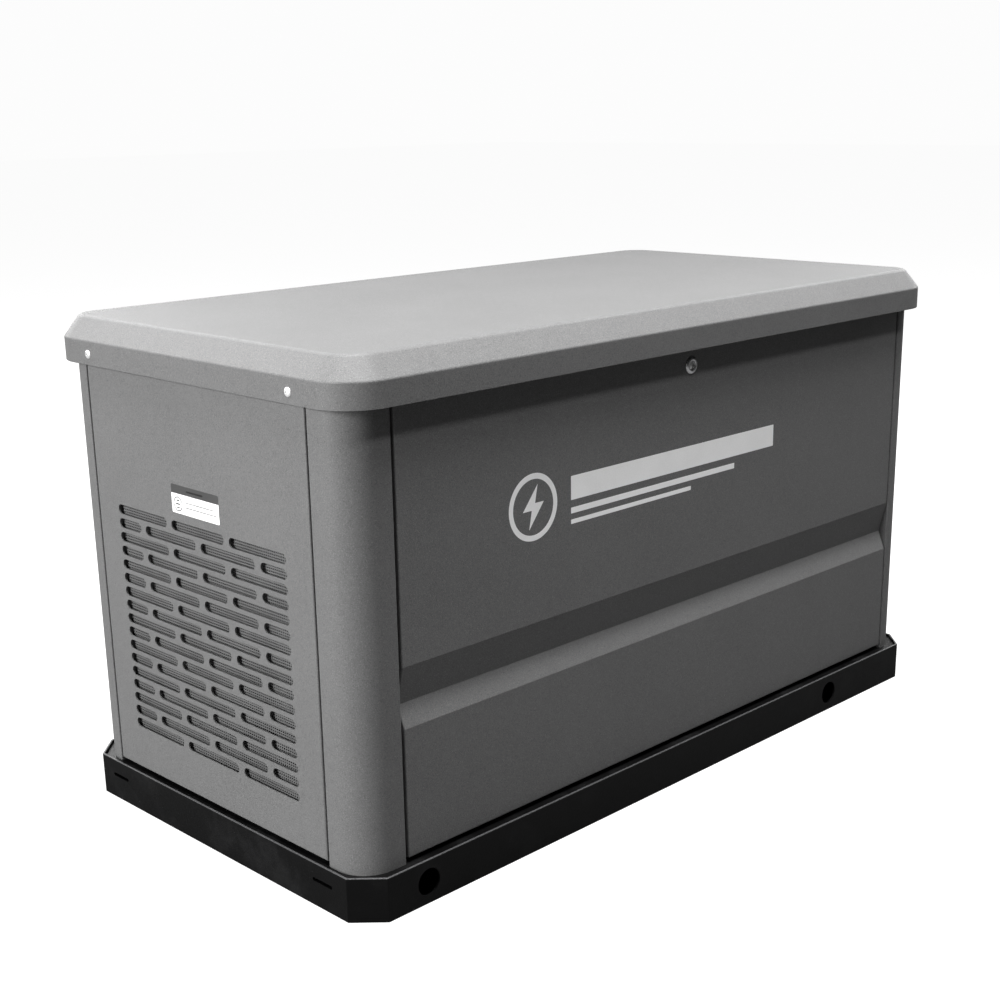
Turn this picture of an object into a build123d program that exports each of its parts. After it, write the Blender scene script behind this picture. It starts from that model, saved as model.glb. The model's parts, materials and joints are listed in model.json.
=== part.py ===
from build123d import *
import os
from math import cos, radians, sin

# Home standby generator: a sheet-metal enclosure on a lifting base, with a hinged
# lid on two gas struts, a lift-off front door, and an air-cooled V-twin and
# alternator inside. Millimetres. +X runs along the length, away from the louvred
# intake end; -Y is the door side; +Z is up. The origin is under the middle.

os.makedirs("parts", exist_ok=True)

# ------------------------------------------------------------ driving dimensions
# Base
BASE_OUT_X = 11.0        # how far the base tray stands out at the ends of the body
BASE_OUT_Y = 17.0        # and at its front and rear
BASE_H = 60.0            # height of the base tray
BASE_CHAMFER = 36.0      # cut at each upright corner
BASE_WALL = 3.0          # sheet thickness
BASE_FLANGE = 50.0       # width of the inward flange that carries the body
BASE_RIM = 4.0           # how far the wall's rim stands above that flange
LIFT_R = 18.0            # lifting-bar holes, through front and rear walls
LIFT_Z = 30.0            # their height
LIFT_LEFT_IN = 102.0     # their places, from the left end of the base
LIFT_RIGHT_IN = 242.0    # and from its right end
VENT_SLOT_L = 38.0       # drain slots in the end walls
VENT_SLOT_H = 5.0
VENT_SLOT_IN = 83.0      # from the long edges of the base
VENT_SLOT_Z = 37.0
ANCHOR_IN_X = 70.0       # anchor bolts, from the ends of the base
ANCHOR_IN_Y = 58.0       # and from its long edges
ANCHOR_R = 6.0

# Body
BODY_L = 1198.0          # length over the panels
BODY_W = 592.0           # width over the panels
BODY_R = 48.0            # upright corner radius
POST_WALL = 2.0
POST_END_FRONT = 66.0    # how far the front posts wrap onto the ends
POST_END_REAR = 54.0     # how far the rear posts wrap onto the ends
POST_FRONT_LEFT = 72.0   # how far the left front post wraps onto the front
POST_FRONT_RIGHT = 54.0  # how far the right front post wraps onto the front
POST_REAR = 54.0         # how far the rear posts wrap onto the rear
SEAM = 4.0               # open seam between a panel and a post
PANEL_CLEAR = 5.0        # open space between the base and the door and panels
SKIN = 2.0               # door and panel skin
PANEL_DEPTH = 15.0       # folded edge of an end panel
REAR_DEPTH = 20.0        # folded edge of the rear panel
RAIL_H = 20.0            # top frame height
RAIL_END = 45.0          # top frame width at the ends
RAIL_SIDE = 30.0         # and along the front and rear
RAIL_WALL = 3.0
TAB_W = 30.0             # tabs on which the panels stand on the base flange

# Lid
SKIRT_Z = 632.0          # bottom edge of the lid's skirt
SKIRT_H = 32.0           # height of the upright skirt
CROWN_H = 28.5           # height of the sloped crown above it
CROWN_IN = 19.0          # how far the slope runs in
LID_OUT_X = 11.0         # how far the lid stands out at the ends of the body
LID_OUT_Y = 21.0         # and at its front and rear
LID_R = 60.0             # upright corner radius of the skirt
LID_WALL = 2.0
LINER_T = 20.0           # acoustic foam under the lid
LINER_IN = 25.0          # how far the foam stays inside the skirt
LID_SCREW_IN = 102.0     # end screws of the lid, from its long edges
LID_SCREW_UP = 14.5      # and above the edge of the skirt
LID_OPEN = 60.0          # opening angle, degrees

# Lid hinge and gas struts
HINGE_OUT = 10.0         # hinge axis behind the body, inside the rear skirt
HINGE_IN = 199.0         # hinge places, from the ends of the body
HINGE_L = 80.0
HINGE_PIN_R = 2.5
HINGE_KNUCKLE_R = 5.0
HINGE_PLAY = 0.05        # radial running clearance
STRUT_IN = 14.0          # strut planes, inside the top frame's end rails
STRUT_R = 200.0          # both strut pivots lie this far from the hinge axis
STRUT_LIFT = 4.0         # upper pivot above the hinge axis, degrees
STRUT_SPREAD = 62.0      # angle between the two pivots at rest, degrees
STRUT_TUBE_R = 9.0
STRUT_ROD_R = 4.0
STRUT_STUD_R = 4.0
STRUT_PLAY = 0.05

# Door
DOOR_DEPTH = 20.0
DOOR_LIP = 20.0          # rear lip of the folded edge
GROOVE_TOP = 312.0       # pressed V-groove across the door
GROOVE_VALLEY = 262.0
GROOVE_BOTTOM = 233.0
GROOVE_DEPTH = 12.0
DOOR_TRAVEL = 350.0      # straight lift-off movement
DOOR_FRAME_T = 3.0
DOOR_FRAME_W = 30.0      # landing strip round the door opening
DOOR_FRAME_TOP = 14.0    # narrower landing strip over the lock
GASKET_GAP = 5.0         # space for the door gasket
FIT_GAP = 0.3            # soft parts and locating pins
PIN_R = 4.0              # door locating pins

# Lock
LOCK_X = 16.0
LOCK_DROP = 25.0         # below the top frame
LOCK_HEAD_R = 12.0
LOCK_BODY_R = 9.0
LOCK_PLUG_R = 6.0
LOCK_PLAY = 0.05
CAM_L = 34.0
CAM_W = 14.0
CAM_T = 3.0

# Intake and outlet grilles
GRILLE_W = 369.0         # width of the slot pattern
GRILLE_ROWS = 17
GRILLE_Z = 131.5         # centre of the lowest row
GRILLE_PITCH = 19.25     # row spacing
SLOT_H = 12.5
SLOT_GAP = 11.0
SCREEN_DEPTH = 6.0       # screen pan depth behind the skin
SCREEN_T = 1.5

# Skid, engine and alternator
SHAFT_Y = 20.0
SHAFT_Z = 260.0
SHAFT_R = 20.0
SHAFT_PLAY = 0.05
BEARING_R = 36.0
BEARING_W = 16.0
RAIL_SPREAD = 150.0      # skid rails either side of the shaft
SKID_W = 40.0
SKID_TOP = 50.0
SKID_IN = 20.0           # rails beyond the alternator
SKID_X1 = 330.0
MOUNT_R = 24.0           # rubber mounts
MOUNT_TOP = 90.0
CASE_X0 = -70.0          # crankcase ends
CASE_X1 = 130.0
CASE_HALF = 110.0
CASE_DROP = 150.0        # sump below the shaft
CASE_SHOULDER = 30.0
CASE_WALL = 10.0
V_ANGLE = 45.0           # cylinder lean either side of upright
CYL_R = 48.0
BORE_R = 40.0
CYL_X = (10.0, 50.0)     # the front and rear cylinders' places along the shaft
CYL_TOP = 215.0          # distance from the shaft to the heads
FIN_R = 62.0
FIN_T = 3.0
FIN_PITCH = 11.0
HEAD_W = 110.0
HEAD_H = 60.0
COVER_W = 88.0
COVER_H = 25.0
ALT_X0 = -300.0          # alternator's outer end
ALT_R = 125.0
ALT_WALL = 7.0
STATOR_BORE_R = 88.0
ROTOR_R = 85.0
FAN_R = 122.0
FAN_IN = 20.0            # fan disc from the crankcase
FAN_HOUSING_R = 150.0
MUFFLER_IN = 174.0       # muffler's middle, from the right end of the body
MUFFLER_R = 85.0
PIPE_R = 17.0

# Electrics and fuel
PARTITION_IN = 269.0     # from the left end of the body
PARTITION_T = 3.0
PARTITION_HOLE_R = 100.0
BOX_IN_X = 59.0          # control box, from the left end of the body
BOX_IN_Y = 71.0          # and from its front
BOX_D = 135.0
BOX_Z0 = 330.0
BOX_Z1 = 590.0
ROCKER_IN = 80.0         # mode switch, from the box's left side and its top
BREAKER_IN_X = 45.0      # circuit breaker, from the partition
BREAKER_IN_Z = 85.0      # and from the box's top
SERVICE_Z = 160.0        # height of the gas inlet and the cable gland
GAS_IN = 50.0            # gas inlet, from the partition
GLAND_IN = 120.0         # cable gland, from the partition

# ------------------------------------------------------------ places worked out
LEFT, RIGHT = -BODY_L / 2, BODY_L / 2
FRONT, REAR = -BODY_W / 2, BODY_W / 2
BASE_L = BODY_L + 2 * BASE_OUT_X
BASE_W = BODY_W + 2 * BASE_OUT_Y
SEAT_Z = BASE_H - BASE_RIM
LIFT_X = (-BASE_L / 2 + LIFT_LEFT_IN, BASE_L / 2 - LIFT_RIGHT_IN)
VENT_SLOT_Y = BASE_W / 2 - VENT_SLOT_IN
PANEL_Z = BASE_H + PANEL_CLEAR
POST_DEPTH = DOOR_DEPTH + GASKET_GAP  # the posts carry the door frame on their backs
RAIL_Z = SKIRT_Z
RAIL_TOP = RAIL_Z + RAIL_H
PANEL_TOP = SKIRT_Z - FIT_GAP * 6
LID_L = BODY_L + 2 * LID_OUT_X
LID_W = BODY_W + 2 * LID_OUT_Y
LID_SCREW_Y = LID_W / 2 - LID_SCREW_IN
LID_SCREW_Z = SKIRT_Z + LID_SCREW_UP
CROWN_Z = SKIRT_Z + SKIRT_H
LID_TOP = CROWN_Z + CROWN_H
LID_CEILING = LID_TOP - LID_WALL
LINER_Z = LID_CEILING - LINER_T
DOOR_X0 = LEFT + POST_FRONT_LEFT + SEAM / 2
DOOR_X1 = RIGHT - POST_FRONT_RIGHT - SEAM / 2
DOOR_BACK = FRONT + DOOR_DEPTH
FRAME_Y0 = DOOR_BACK + GASKET_GAP
FRAME_Y1 = FRAME_Y0 + DOOR_FRAME_T
END_Y0 = FRONT + POST_END_FRONT + SEAM / 2
END_Y1 = REAR - POST_END_REAR - SEAM / 2
GRILLE_Y = (END_Y0 + END_Y1) / 2
HINGE_Y = REAR + HINGE_OUT
HINGE_Z = RAIL_Z + RAIL_H / 2
HINGE_X = RIGHT - HINGE_IN
HINGE_AT = (HINGE_Y, HINGE_Z)
STRUT_X = RIGHT - RAIL_END - STRUT_IN
LOCK_Z = RAIL_Z - LOCK_DROP
MOUNT_X = (ALT_X0 + 60.0, CASE_X0 + 130.0)
SKID_X0 = ALT_X0 - SKID_IN
FAN_X = CASE_X1 + FAN_IN
MUFFLER_X = RIGHT - MUFFLER_IN
PARTITION_X = LEFT + PARTITION_IN
BOX_X0 = LEFT + BOX_IN_X
BOX_Y0 = FRONT + BOX_IN_Y
BOX_Y1 = BOX_Y0 + BOX_D
ROCKER_X, ROCKER_Z = BOX_X0 + ROCKER_IN, BOX_Z1 - ROCKER_IN
BREAKER_X, BREAKER_Z = PARTITION_X - BREAKER_IN_X, BOX_Z1 - BREAKER_IN_Z
GAS_X = PARTITION_X + GAS_IN
GLAND_X = PARTITION_X - GLAND_IN


def around_hinge(angle):
    """The point at the strut radius and this angle from the hinge, towards the front."""
    return (
        HINGE_Y - STRUT_R * cos(radians(angle)),
        HINGE_Z + STRUT_R * sin(radians(angle)),
    )


STRUT_UPPER = around_hinge(STRUT_LIFT)
STRUT_LOWER = around_hinge(STRUT_LIFT - STRUT_SPREAD)
STRUT_CLOSED = 2 * STRUT_R * sin(radians(STRUT_SPREAD / 2))
STRUT_OPEN = 2 * STRUT_R * sin(radians((STRUT_SPREAD + LID_OPEN) / 2))

# ------------------------------------------------------------ helpers
TURNED = {"X": (0, 90, 0), "Y": (90, 0, 0), "Z": (0, 0, 0)}


def block(x, y, z, mode=Mode.ADD):
    """A box from its low and high values along each axis."""
    with Locations((sum(x) / 2, sum(y) / 2, sum(z) / 2)):
        Box(x[1] - x[0], y[1] - y[0], z[1] - z[0], mode=mode)


def drum(axis, at, span, radius, mode=Mode.ADD):
    """A cylinder along an axis, centred at these values of the other two."""
    middle = sum(span) / 2
    places = {
        "X": (middle, *at),
        "Y": (at[0], middle, at[1]),
        "Z": (*at, middle),
    }
    with Locations(Location(places[axis], TURNED[axis])):
        Cylinder(radius, span[1] - span[0], mode=mode)


def keep(builder, node):
    """Label a finished piece and write it."""
    builder.part.label = node
    export_step(builder.part, f"parts/{node}.step")


def mirrored_x(value):
    """The pair of places either side of the middle of the length."""
    return (-value, value)


# ------------------------------------------------------------ base and skid
def base_section(height, inset):
    """The base outline with its cut corners, drawn in by a wall."""
    with BuildSketch(Plane.XY.offset(height)) as section:
        Rectangle(BASE_L, BASE_W)
        chamfer(vertices(), BASE_CHAMFER)
        if inset:
            offset(amount=-inset, mode=Mode.REPLACE)
    return section.sketch


with BuildPart() as base_tray:
    extrude(base_section(0, 0), amount=BASE_H)
    inside = base_section(BASE_WALL, BASE_WALL)
    extrude(inside, amount=SEAT_Z - 2 * BASE_WALL, mode=Mode.SUBTRACT)
    extrude(base_section(SEAT_Z, BASE_WALL), amount=BASE_RIM, mode=Mode.SUBTRACT)
    block(
        (-BASE_L / 2 + BASE_FLANGE, BASE_L / 2 - BASE_FLANGE),
        (-BASE_W / 2 + BASE_FLANGE, BASE_W / 2 - BASE_FLANGE),
        (BASE_WALL, BASE_H),
        Mode.SUBTRACT,
    )
    for x in LIFT_X:
        drum("Y", (x, LIFT_Z), (-BASE_W / 2, BASE_W / 2), LIFT_R, Mode.SUBTRACT)
    for y in (-VENT_SLOT_Y, VENT_SLOT_Y):
        block(
            (-BASE_L / 2, BASE_L / 2),
            (y - VENT_SLOT_L / 2, y + VENT_SLOT_L / 2),
            (VENT_SLOT_Z - VENT_SLOT_H / 2, VENT_SLOT_Z + VENT_SLOT_H / 2),
            Mode.SUBTRACT,
        )
    with GridLocations(BASE_L - 2 * ANCHOR_IN_X, BASE_W - 2 * ANCHOR_IN_Y, 2, 2):
        Cylinder(ANCHOR_R, 4 * BASE_WALL, mode=Mode.SUBTRACT)
keep(base_tray, "base_tray")

with BuildPart() as skid_rails:
    for y in (SHAFT_Y - RAIL_SPREAD, SHAFT_Y + RAIL_SPREAD):
        block((SKID_X0, SKID_X1), (y - SKID_W / 2, y + SKID_W / 2), (BASE_WALL, SKID_TOP))
        block(
            (SKID_X0, SKID_X1),
            (y - SKID_W / 2 + BASE_WALL, y + SKID_W / 2 - BASE_WALL),
            (2 * BASE_WALL, SKID_TOP - BASE_WALL),
            Mode.SUBTRACT,
        )
keep(skid_rails, "skid_rails")

with BuildPart() as rubber_mounts:
    for x in MOUNT_X:
        for y in (SHAFT_Y - RAIL_SPREAD, SHAFT_Y + RAIL_SPREAD):
            drum("Z", (x, y), (SKID_TOP, MOUNT_TOP), MOUNT_R)
keep(rubber_mounts, "rubber_mounts")


# ------------------------------------------------------------ body frame
def post_section(side, end, along, across):
    """One corner post's section: a rounded L-shaped box, hollow inside."""
    x, y = side * RIGHT, end * REAR
    with BuildSketch(Plane.XY.offset(SEAT_Z)) as section:
        with BuildLine():
            Polyline(
                (x, y),
                (x - side * along, y),
                (x - side * along, y - end * POST_DEPTH),
                (x - side * POST_DEPTH, y - end * POST_DEPTH),
                (x - side * POST_DEPTH, y - end * across),
                (x, y - end * across),
                close=True,
            )
        make_face()
        corner = section.vertices().sort_by_distance((x, y, SEAT_Z))[0]
        fillet(corner, BODY_R)
        offset(amount=-POST_WALL, mode=Mode.SUBTRACT)
    return section.sketch


with BuildPart() as corner_posts:
    height = RAIL_Z - SEAT_Z
    extrude(post_section(-1, -1, POST_FRONT_LEFT, POST_END_FRONT), amount=height)
    extrude(post_section(1, -1, POST_FRONT_RIGHT, POST_END_FRONT), amount=height)
    extrude(post_section(-1, 1, POST_REAR, POST_END_REAR), amount=height)
    extrude(post_section(1, 1, POST_REAR, POST_END_REAR), amount=height)
keep(corner_posts, "corner_posts")

with BuildPart() as top_frame:
    with BuildSketch(Plane.XY.offset(RAIL_Z)):
        RectangleRounded(BODY_L, BODY_W, BODY_R)
        Rectangle(BODY_L - 2 * RAIL_END, BODY_W - 2 * RAIL_SIDE, mode=Mode.SUBTRACT)
    extrude(amount=RAIL_H)
    with BuildSketch(Plane.XY.offset(RAIL_Z)):
        RectangleRounded(
            BODY_L - 2 * RAIL_WALL, BODY_W - 2 * RAIL_WALL, BODY_R - RAIL_WALL
        )
        Rectangle(
            BODY_L - 2 * RAIL_END + 2 * RAIL_WALL,
            BODY_W - 2 * RAIL_SIDE + 2 * RAIL_WALL,
            mode=Mode.SUBTRACT,
        )
    extrude(amount=RAIL_H - RAIL_WALL, mode=Mode.SUBTRACT)
keep(top_frame, "top_frame")

LANDING_X0 = DOOR_X0 + DOOR_FRAME_W
LANDING_X1 = DOOR_X1 - DOOR_FRAME_W
LANDING_Z0 = PANEL_Z + DOOR_FRAME_W
LANDING_Z1 = RAIL_Z - DOOR_FRAME_TOP
PIN_Z = PANEL_Z + DOOR_FRAME_W / 2
PIN_X = (DOOR_X0 + 4 * DOOR_FRAME_W, DOOR_X1 - 4 * DOOR_FRAME_W)

with BuildPart() as door_frame:
    block(
        (DOOR_X0 - DOOR_FRAME_W / 2, DOOR_X1 + DOOR_FRAME_W / 2),
        (FRAME_Y0, FRAME_Y1),
        (SEAT_Z, RAIL_Z),
    )
    block(
        (LANDING_X0, LANDING_X1),
        (FRAME_Y0, FRAME_Y1),
        (LANDING_Z0, LANDING_Z1),
        Mode.SUBTRACT,
    )
    for x in PIN_X:
        drum("Y", (x, PIN_Z), (FRAME_Y0, FRAME_Y1), PIN_R + FIT_GAP, Mode.SUBTRACT)
keep(door_frame, "door_frame")

GASKET_SHAPE = (DOOR_X0 + SEAM, DOOR_X1 - SEAM, PANEL_Z + SEAM, RAIL_Z - SEAM)
GASKET_W = DOOR_FRAME_TOP - SEAM

with BuildPart() as door_gasket:
    gx0, gx1, gz0, gz1 = GASKET_SHAPE
    block((gx0, gx1), (DOOR_BACK + FIT_GAP, FRAME_Y0), (gz0, gz1))
    block(
        (gx0 + GASKET_W, gx1 - GASKET_W),
        (DOOR_BACK + FIT_GAP, FRAME_Y0),
        (gz0 + GASKET_W, gz1 - GASKET_W),
        Mode.SUBTRACT,
    )
    for x in PIN_X:
        drum("Y", (x, PIN_Z), (DOOR_BACK, FRAME_Y0), PIN_R + 1, Mode.SUBTRACT)
keep(door_gasket, "door_gasket")

LID_GASKET_W = 14.0
LID_GASKET_IN = 8.0

with BuildPart() as lid_gasket:
    with BuildSketch(Plane.XY.offset(RAIL_TOP)):
        RectangleRounded(
            BODY_L - 2 * LID_GASKET_IN, BODY_W - 2 * LID_GASKET_IN, BODY_R - LID_GASKET_IN
        )
        RectangleRounded(
            BODY_L - 2 * LID_GASKET_IN - 2 * LID_GASKET_W,
            BODY_W - 2 * LID_GASKET_IN - 2 * LID_GASKET_W,
            BODY_R - LID_GASKET_IN - LID_GASKET_W,
            mode=Mode.SUBTRACT,
        )
    extrude(amount=LINER_Z - RAIL_TOP - FIT_GAP)
keep(lid_gasket, "lid_gasket")


# ------------------------------------------------------------ end and rear panels
SLOT_LONG = (GRILLE_W - 2 * SLOT_GAP) / 3
SLOT_SHORT = (SLOT_LONG - SLOT_GAP) / 2


def grille_section(x):
    """The staggered slot pattern: three long slots, then short-long-long-short."""
    with BuildSketch(Plane.YZ.offset(x)) as section:
        for row in range(GRILLE_ROWS):
            lengths = [SLOT_LONG] * 3
            if row % 2:
                lengths = [SLOT_SHORT, SLOT_LONG, SLOT_LONG, SLOT_SHORT]
            start = GRILLE_Y - GRILLE_W / 2
            for length in lengths:
                with Locations((start + length / 2, GRILLE_Z + row * GRILLE_PITCH)):
                    SlotOverall(length, SLOT_H)
                start += length + SLOT_GAP
    return section.sketch


def end_panel(side):
    """A folded end panel with the grille cut through its skin."""
    outer, fold = side * RIGHT, side * (RIGHT - PANEL_DEPTH)
    skin = side * (RIGHT - SKIN)
    with BuildPart() as panel:
        block(sorted((outer, fold)), (END_Y0, END_Y1), (PANEL_Z, PANEL_TOP))
        block(
            sorted((skin, fold)),
            (END_Y0 + SKIN, END_Y1 - SKIN),
            (PANEL_Z + SKIN, PANEL_TOP - SKIN),
            Mode.SUBTRACT,
        )
        start = min(outer, skin)
        extrude(grille_section(start), amount=SKIN, mode=Mode.SUBTRACT)
        for y in (END_Y0 + TAB_W, END_Y1 - TAB_W):
            foot = sorted((fold, fold + side * SKIN))
            block(foot, (y - TAB_W / 2, y + TAB_W / 2), (SEAT_Z, PANEL_Z + SKIN))
    return panel


left_end_panel = end_panel(-1)
keep(left_end_panel, "left_end_panel")
right_end_panel = end_panel(1)
keep(right_end_panel, "right_end_panel")

SCREEN_Y = (GRILLE_Y - GRILLE_W / 2 - SLOT_GAP, GRILLE_Y + GRILLE_W / 2 + SLOT_GAP)
SCREEN_Z = (
    GRILLE_Z - GRILLE_PITCH,
    GRILLE_Z + GRILLE_ROWS * GRILLE_PITCH,
)

with BuildPart() as air_screens:
    for side in (-1, 1):
        near, far = side * (RIGHT - SKIN), side * (RIGHT - SKIN - SCREEN_DEPTH)
        block(sorted((near, far)), SCREEN_Y, SCREEN_Z)
        block(
            sorted((near, far + side * SCREEN_T)),
            (SCREEN_Y[0] + SCREEN_T, SCREEN_Y[1] - SCREEN_T),
            (SCREEN_Z[0] + SCREEN_T, SCREEN_Z[1] - SCREEN_T),
            Mode.SUBTRACT,
        )
keep(air_screens, "air_screens")

REAR_X = RIGHT - POST_REAR - SEAM / 2
REAR_SCREW_X = REAR_X - 12.0
REAR_SCREW_Z = (100.0, 350.0, 600.0)
SCREW_R = 3.0
SCREW_HOLE_R = 3.2
SCREW_HEAD_R = 5.8
SCREW_HEAD_H = 2.4
GLAND_R = 16.0
GLAND_BORE_R = 12.0
NIPPLE_R = 13.3
NIPPLE_BORE_R = 10.0

with BuildPart() as rear_panel:
    block((-REAR_X, REAR_X), (REAR - REAR_DEPTH, REAR), (PANEL_Z, PANEL_TOP))
    block(
        (-REAR_X + SKIN, REAR_X - SKIN),
        (REAR - REAR_DEPTH, REAR - SKIN),
        (PANEL_Z + SKIN, PANEL_TOP - SKIN),
        Mode.SUBTRACT,
    )
    for x in mirrored_x(REAR_X - TAB_W):
        foot = (REAR - REAR_DEPTH, REAR - REAR_DEPTH + SKIN)
        block((x - TAB_W / 2, x + TAB_W / 2), foot, (SEAT_Z, PANEL_Z + SKIN))
    drum("Y", (GLAND_X, SERVICE_Z), (REAR - SKIN, REAR), GLAND_R, Mode.SUBTRACT)
    drum("Y", (GAS_X, SERVICE_Z), (REAR - SKIN, REAR), NIPPLE_R + 1, Mode.SUBTRACT)
    for x in mirrored_x(REAR_SCREW_X):
        for z in REAR_SCREW_Z:
            drum("Y", (x, z), (REAR - SKIN, REAR), SCREW_HOLE_R, Mode.SUBTRACT)
keep(rear_panel, "rear_panel")

with BuildPart() as rear_screws:
    for x in mirrored_x(REAR_SCREW_X):
        for z in REAR_SCREW_Z:
            drum("Y", (x, z), (REAR - 4 * SKIN, REAR), SCREW_R)
            drum("Y", (x, z), (REAR, REAR + SCREW_HEAD_H), SCREW_HEAD_R)
    heads = faces().group_by(Axis.Y)[-1]
    chamfer(heads.edges(), SCREW_HEAD_H / 2)
keep(rear_screws, "rear_screws")

with BuildPart() as cable_gland:
    drum("Y", (GLAND_X, SERVICE_Z), (REAR - REAR_DEPTH, REAR + GLAND_R), GLAND_R)
    drum("Y", (GLAND_X, SERVICE_Z), (REAR, REAR + 2 * SKIN), GLAND_R + 6)
    drum(
        "Y",
        (GLAND_X, SERVICE_Z),
        (REAR - REAR_DEPTH, REAR + GLAND_R),
        GLAND_BORE_R,
        Mode.SUBTRACT,
    )
keep(cable_gland, "cable_gland")

with BuildPart() as partition:
    block(
        (PARTITION_X, PARTITION_X + PARTITION_T),
        (FRAME_Y1, REAR - REAR_DEPTH),
        (SEAT_Z, RAIL_Z),
    )
    drum(
        "X",
        (SHAFT_Y, SHAFT_Z),
        (PARTITION_X, PARTITION_X + PARTITION_T),
        PARTITION_HOLE_R,
        Mode.SUBTRACT,
    )
keep(partition, "partition")

# ------------------------------------------------------------ lid
LEG_X = (LOCK_X + 15.0, LOCK_X + 40.0)
RIB_X = (STRUT_X - 50.0, STRUT_X + 10.0)
RIB_Y = LID_W / 2 - 67.0
RIB_H = 14.0
RIB_T = 3.0
BRACKET_T = 3.0
BRACKET_W = 30.0


def crown(inset, bottom, top):
    """The lid's outer form, or the same form drawn in by the wall."""
    with BuildSketch(Plane.XY.offset(bottom)) as skirt:
        RectangleRounded(LID_L - 2 * inset, LID_W - 2 * inset, LID_R - inset)
    with BuildSketch(Plane.XY.offset(CROWN_Z)) as low:
        RectangleRounded(LID_L - 2 * inset, LID_W - 2 * inset, LID_R - inset)
    with BuildSketch(Plane.XY.offset(top)) as high:
        drawn = inset + CROWN_IN
        RectangleRounded(LID_L - 2 * drawn, LID_W - 2 * drawn, LID_R - drawn)
    with BuildPart() as form:
        extrude(skirt.sketch, amount=CROWN_Z - bottom)
        loft((low.sketch, high.sketch))
    return form.part


with BuildPart() as lid:
    add(crown(0, SKIRT_Z, LID_TOP))
    add(crown(LID_WALL, SKIRT_Z, LID_CEILING), mode=Mode.SUBTRACT)
    for y in (-LID_SCREW_Y, LID_SCREW_Y):
        drum(
            "X",
            (y, LID_SCREW_Z),
            (-LID_L / 2, LID_L / 2),
            SCREW_HOLE_R,
            Mode.SUBTRACT,
        )
keep(lid, "lid")

STRIP_Z = (LID_SCREW_Z - 7.0, LID_SCREW_Z + 7.0)

with BuildPart() as lid_ribs:
    for side in (-1, 1):
        inner = sorted((side * RIB_X[0], side * RIB_X[1]))
        block(inner, (-RIB_Y, RIB_Y), (LID_CEILING - RIB_H, LID_CEILING))
        block(
            (inner[0] + RIB_T, inner[1] - RIB_T),
            (-RIB_Y, RIB_Y),
            (LID_CEILING - RIB_H + RIB_T, LID_CEILING),
            Mode.SUBTRACT,
        )
        wall = side * (LID_L / 2 - LID_WALL)
        block(sorted((wall, wall - side * RIB_T)), (-RIB_Y, RIB_Y), STRIP_Z)
        for y in (-LID_SCREW_Y, LID_SCREW_Y):
            drum(
                "X",
                (y, LID_SCREW_Z),
                sorted((wall, wall - side * RIB_T)),
                SCREW_HOLE_R,
                Mode.SUBTRACT,
            )
keep(lid_ribs, "lid_ribs")

with BuildPart() as lid_screws:
    for side in (-1, 1):
        face = side * LID_L / 2
        inside = face - side * (LID_WALL + RIB_T + 2)
        for y in (-LID_SCREW_Y, LID_SCREW_Y):
            drum("X", (y, LID_SCREW_Z), sorted((inside, face)), SCREW_R)
            head = sorted((face, face + side * SCREW_HEAD_H))
            drum("X", (y, LID_SCREW_Z), head, SCREW_HEAD_R)
    for end in (0, -1):
        heads = faces().group_by(Axis.X)[end]
        chamfer(heads.edges(), SCREW_HEAD_H / 2)
keep(lid_screws, "lid_screws")

with BuildPart() as lid_liner:
    block(
        (-LID_L / 2 + LINER_IN, LID_L / 2 - LINER_IN),
        (-LID_W / 2 + LINER_IN, LID_W / 2 - LINER_IN),
        (LINER_Z, LID_CEILING - FIT_GAP),
    )
    fillet(edges().filter_by(Axis.Z), LID_R - CROWN_IN)
    for side in (-1, 1):
        pocket = sorted((side * (RIB_X[0] - 5), side * (RIB_X[1] + 2 * BRACKET_T)))
        block(pocket, (-RIB_Y - 5, RIB_Y + 5), (LINER_Z, LID_CEILING), Mode.SUBTRACT)
    block(
        (LEG_X[0] - 5, LEG_X[1] + 5),
        (FRAME_Y1 + 5, FRAME_Y1 + 50),
        (LINER_Z, LID_CEILING),
        Mode.SUBTRACT,
    )
keep(lid_liner, "lid_liner")

# ------------------------------------------------------------ lid hinges
KNUCKLE_END = HINGE_L * 0.3
KNUCKLE_GAP = 1.0
LEAF_T = 2.0
WEB_H = 4.0

with BuildPart() as hinge_frame_leaves:
    for x in mirrored_x(HINGE_X):
        ends = (
            (x - HINGE_L / 2, x - HINGE_L / 2 + KNUCKLE_END),
            (x + HINGE_L / 2 - KNUCKLE_END, x + HINGE_L / 2),
        )
        block((x - HINGE_L / 2, x + HINGE_L / 2), (REAR, REAR + LEAF_T), (RAIL_Z + 1, RAIL_TOP - 1))
        for span in ends:
            drum("X", HINGE_AT, span, HINGE_KNUCKLE_R)
            block(span, (REAR, HINGE_Y), (HINGE_Z - WEB_H, HINGE_Z + WEB_H))
            drum("X", HINGE_AT, span, HINGE_PIN_R + HINGE_PLAY, Mode.SUBTRACT)
keep(hinge_frame_leaves, "hinge_frame_leaves")

with BuildPart() as hinge_lid_leaves:
    skirt_in = LID_W / 2 - LID_WALL
    for x in mirrored_x(HINGE_X):
        half = HINGE_L / 2 - KNUCKLE_END - KNUCKLE_GAP
        block((x - HINGE_L / 2, x + HINGE_L / 2), (skirt_in - LEAF_T, skirt_in), (HINGE_Z - 5, CROWN_Z))
        drum("X", HINGE_AT, (x - half, x + half), HINGE_KNUCKLE_R)
        block((x - half, x + half), (HINGE_Y, skirt_in), (HINGE_Z - WEB_H, HINGE_Z + WEB_H))
        drum("X", HINGE_AT, (x - half, x + half), HINGE_PIN_R + HINGE_PLAY, Mode.SUBTRACT)
keep(hinge_lid_leaves, "hinge_lid_leaves")

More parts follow.
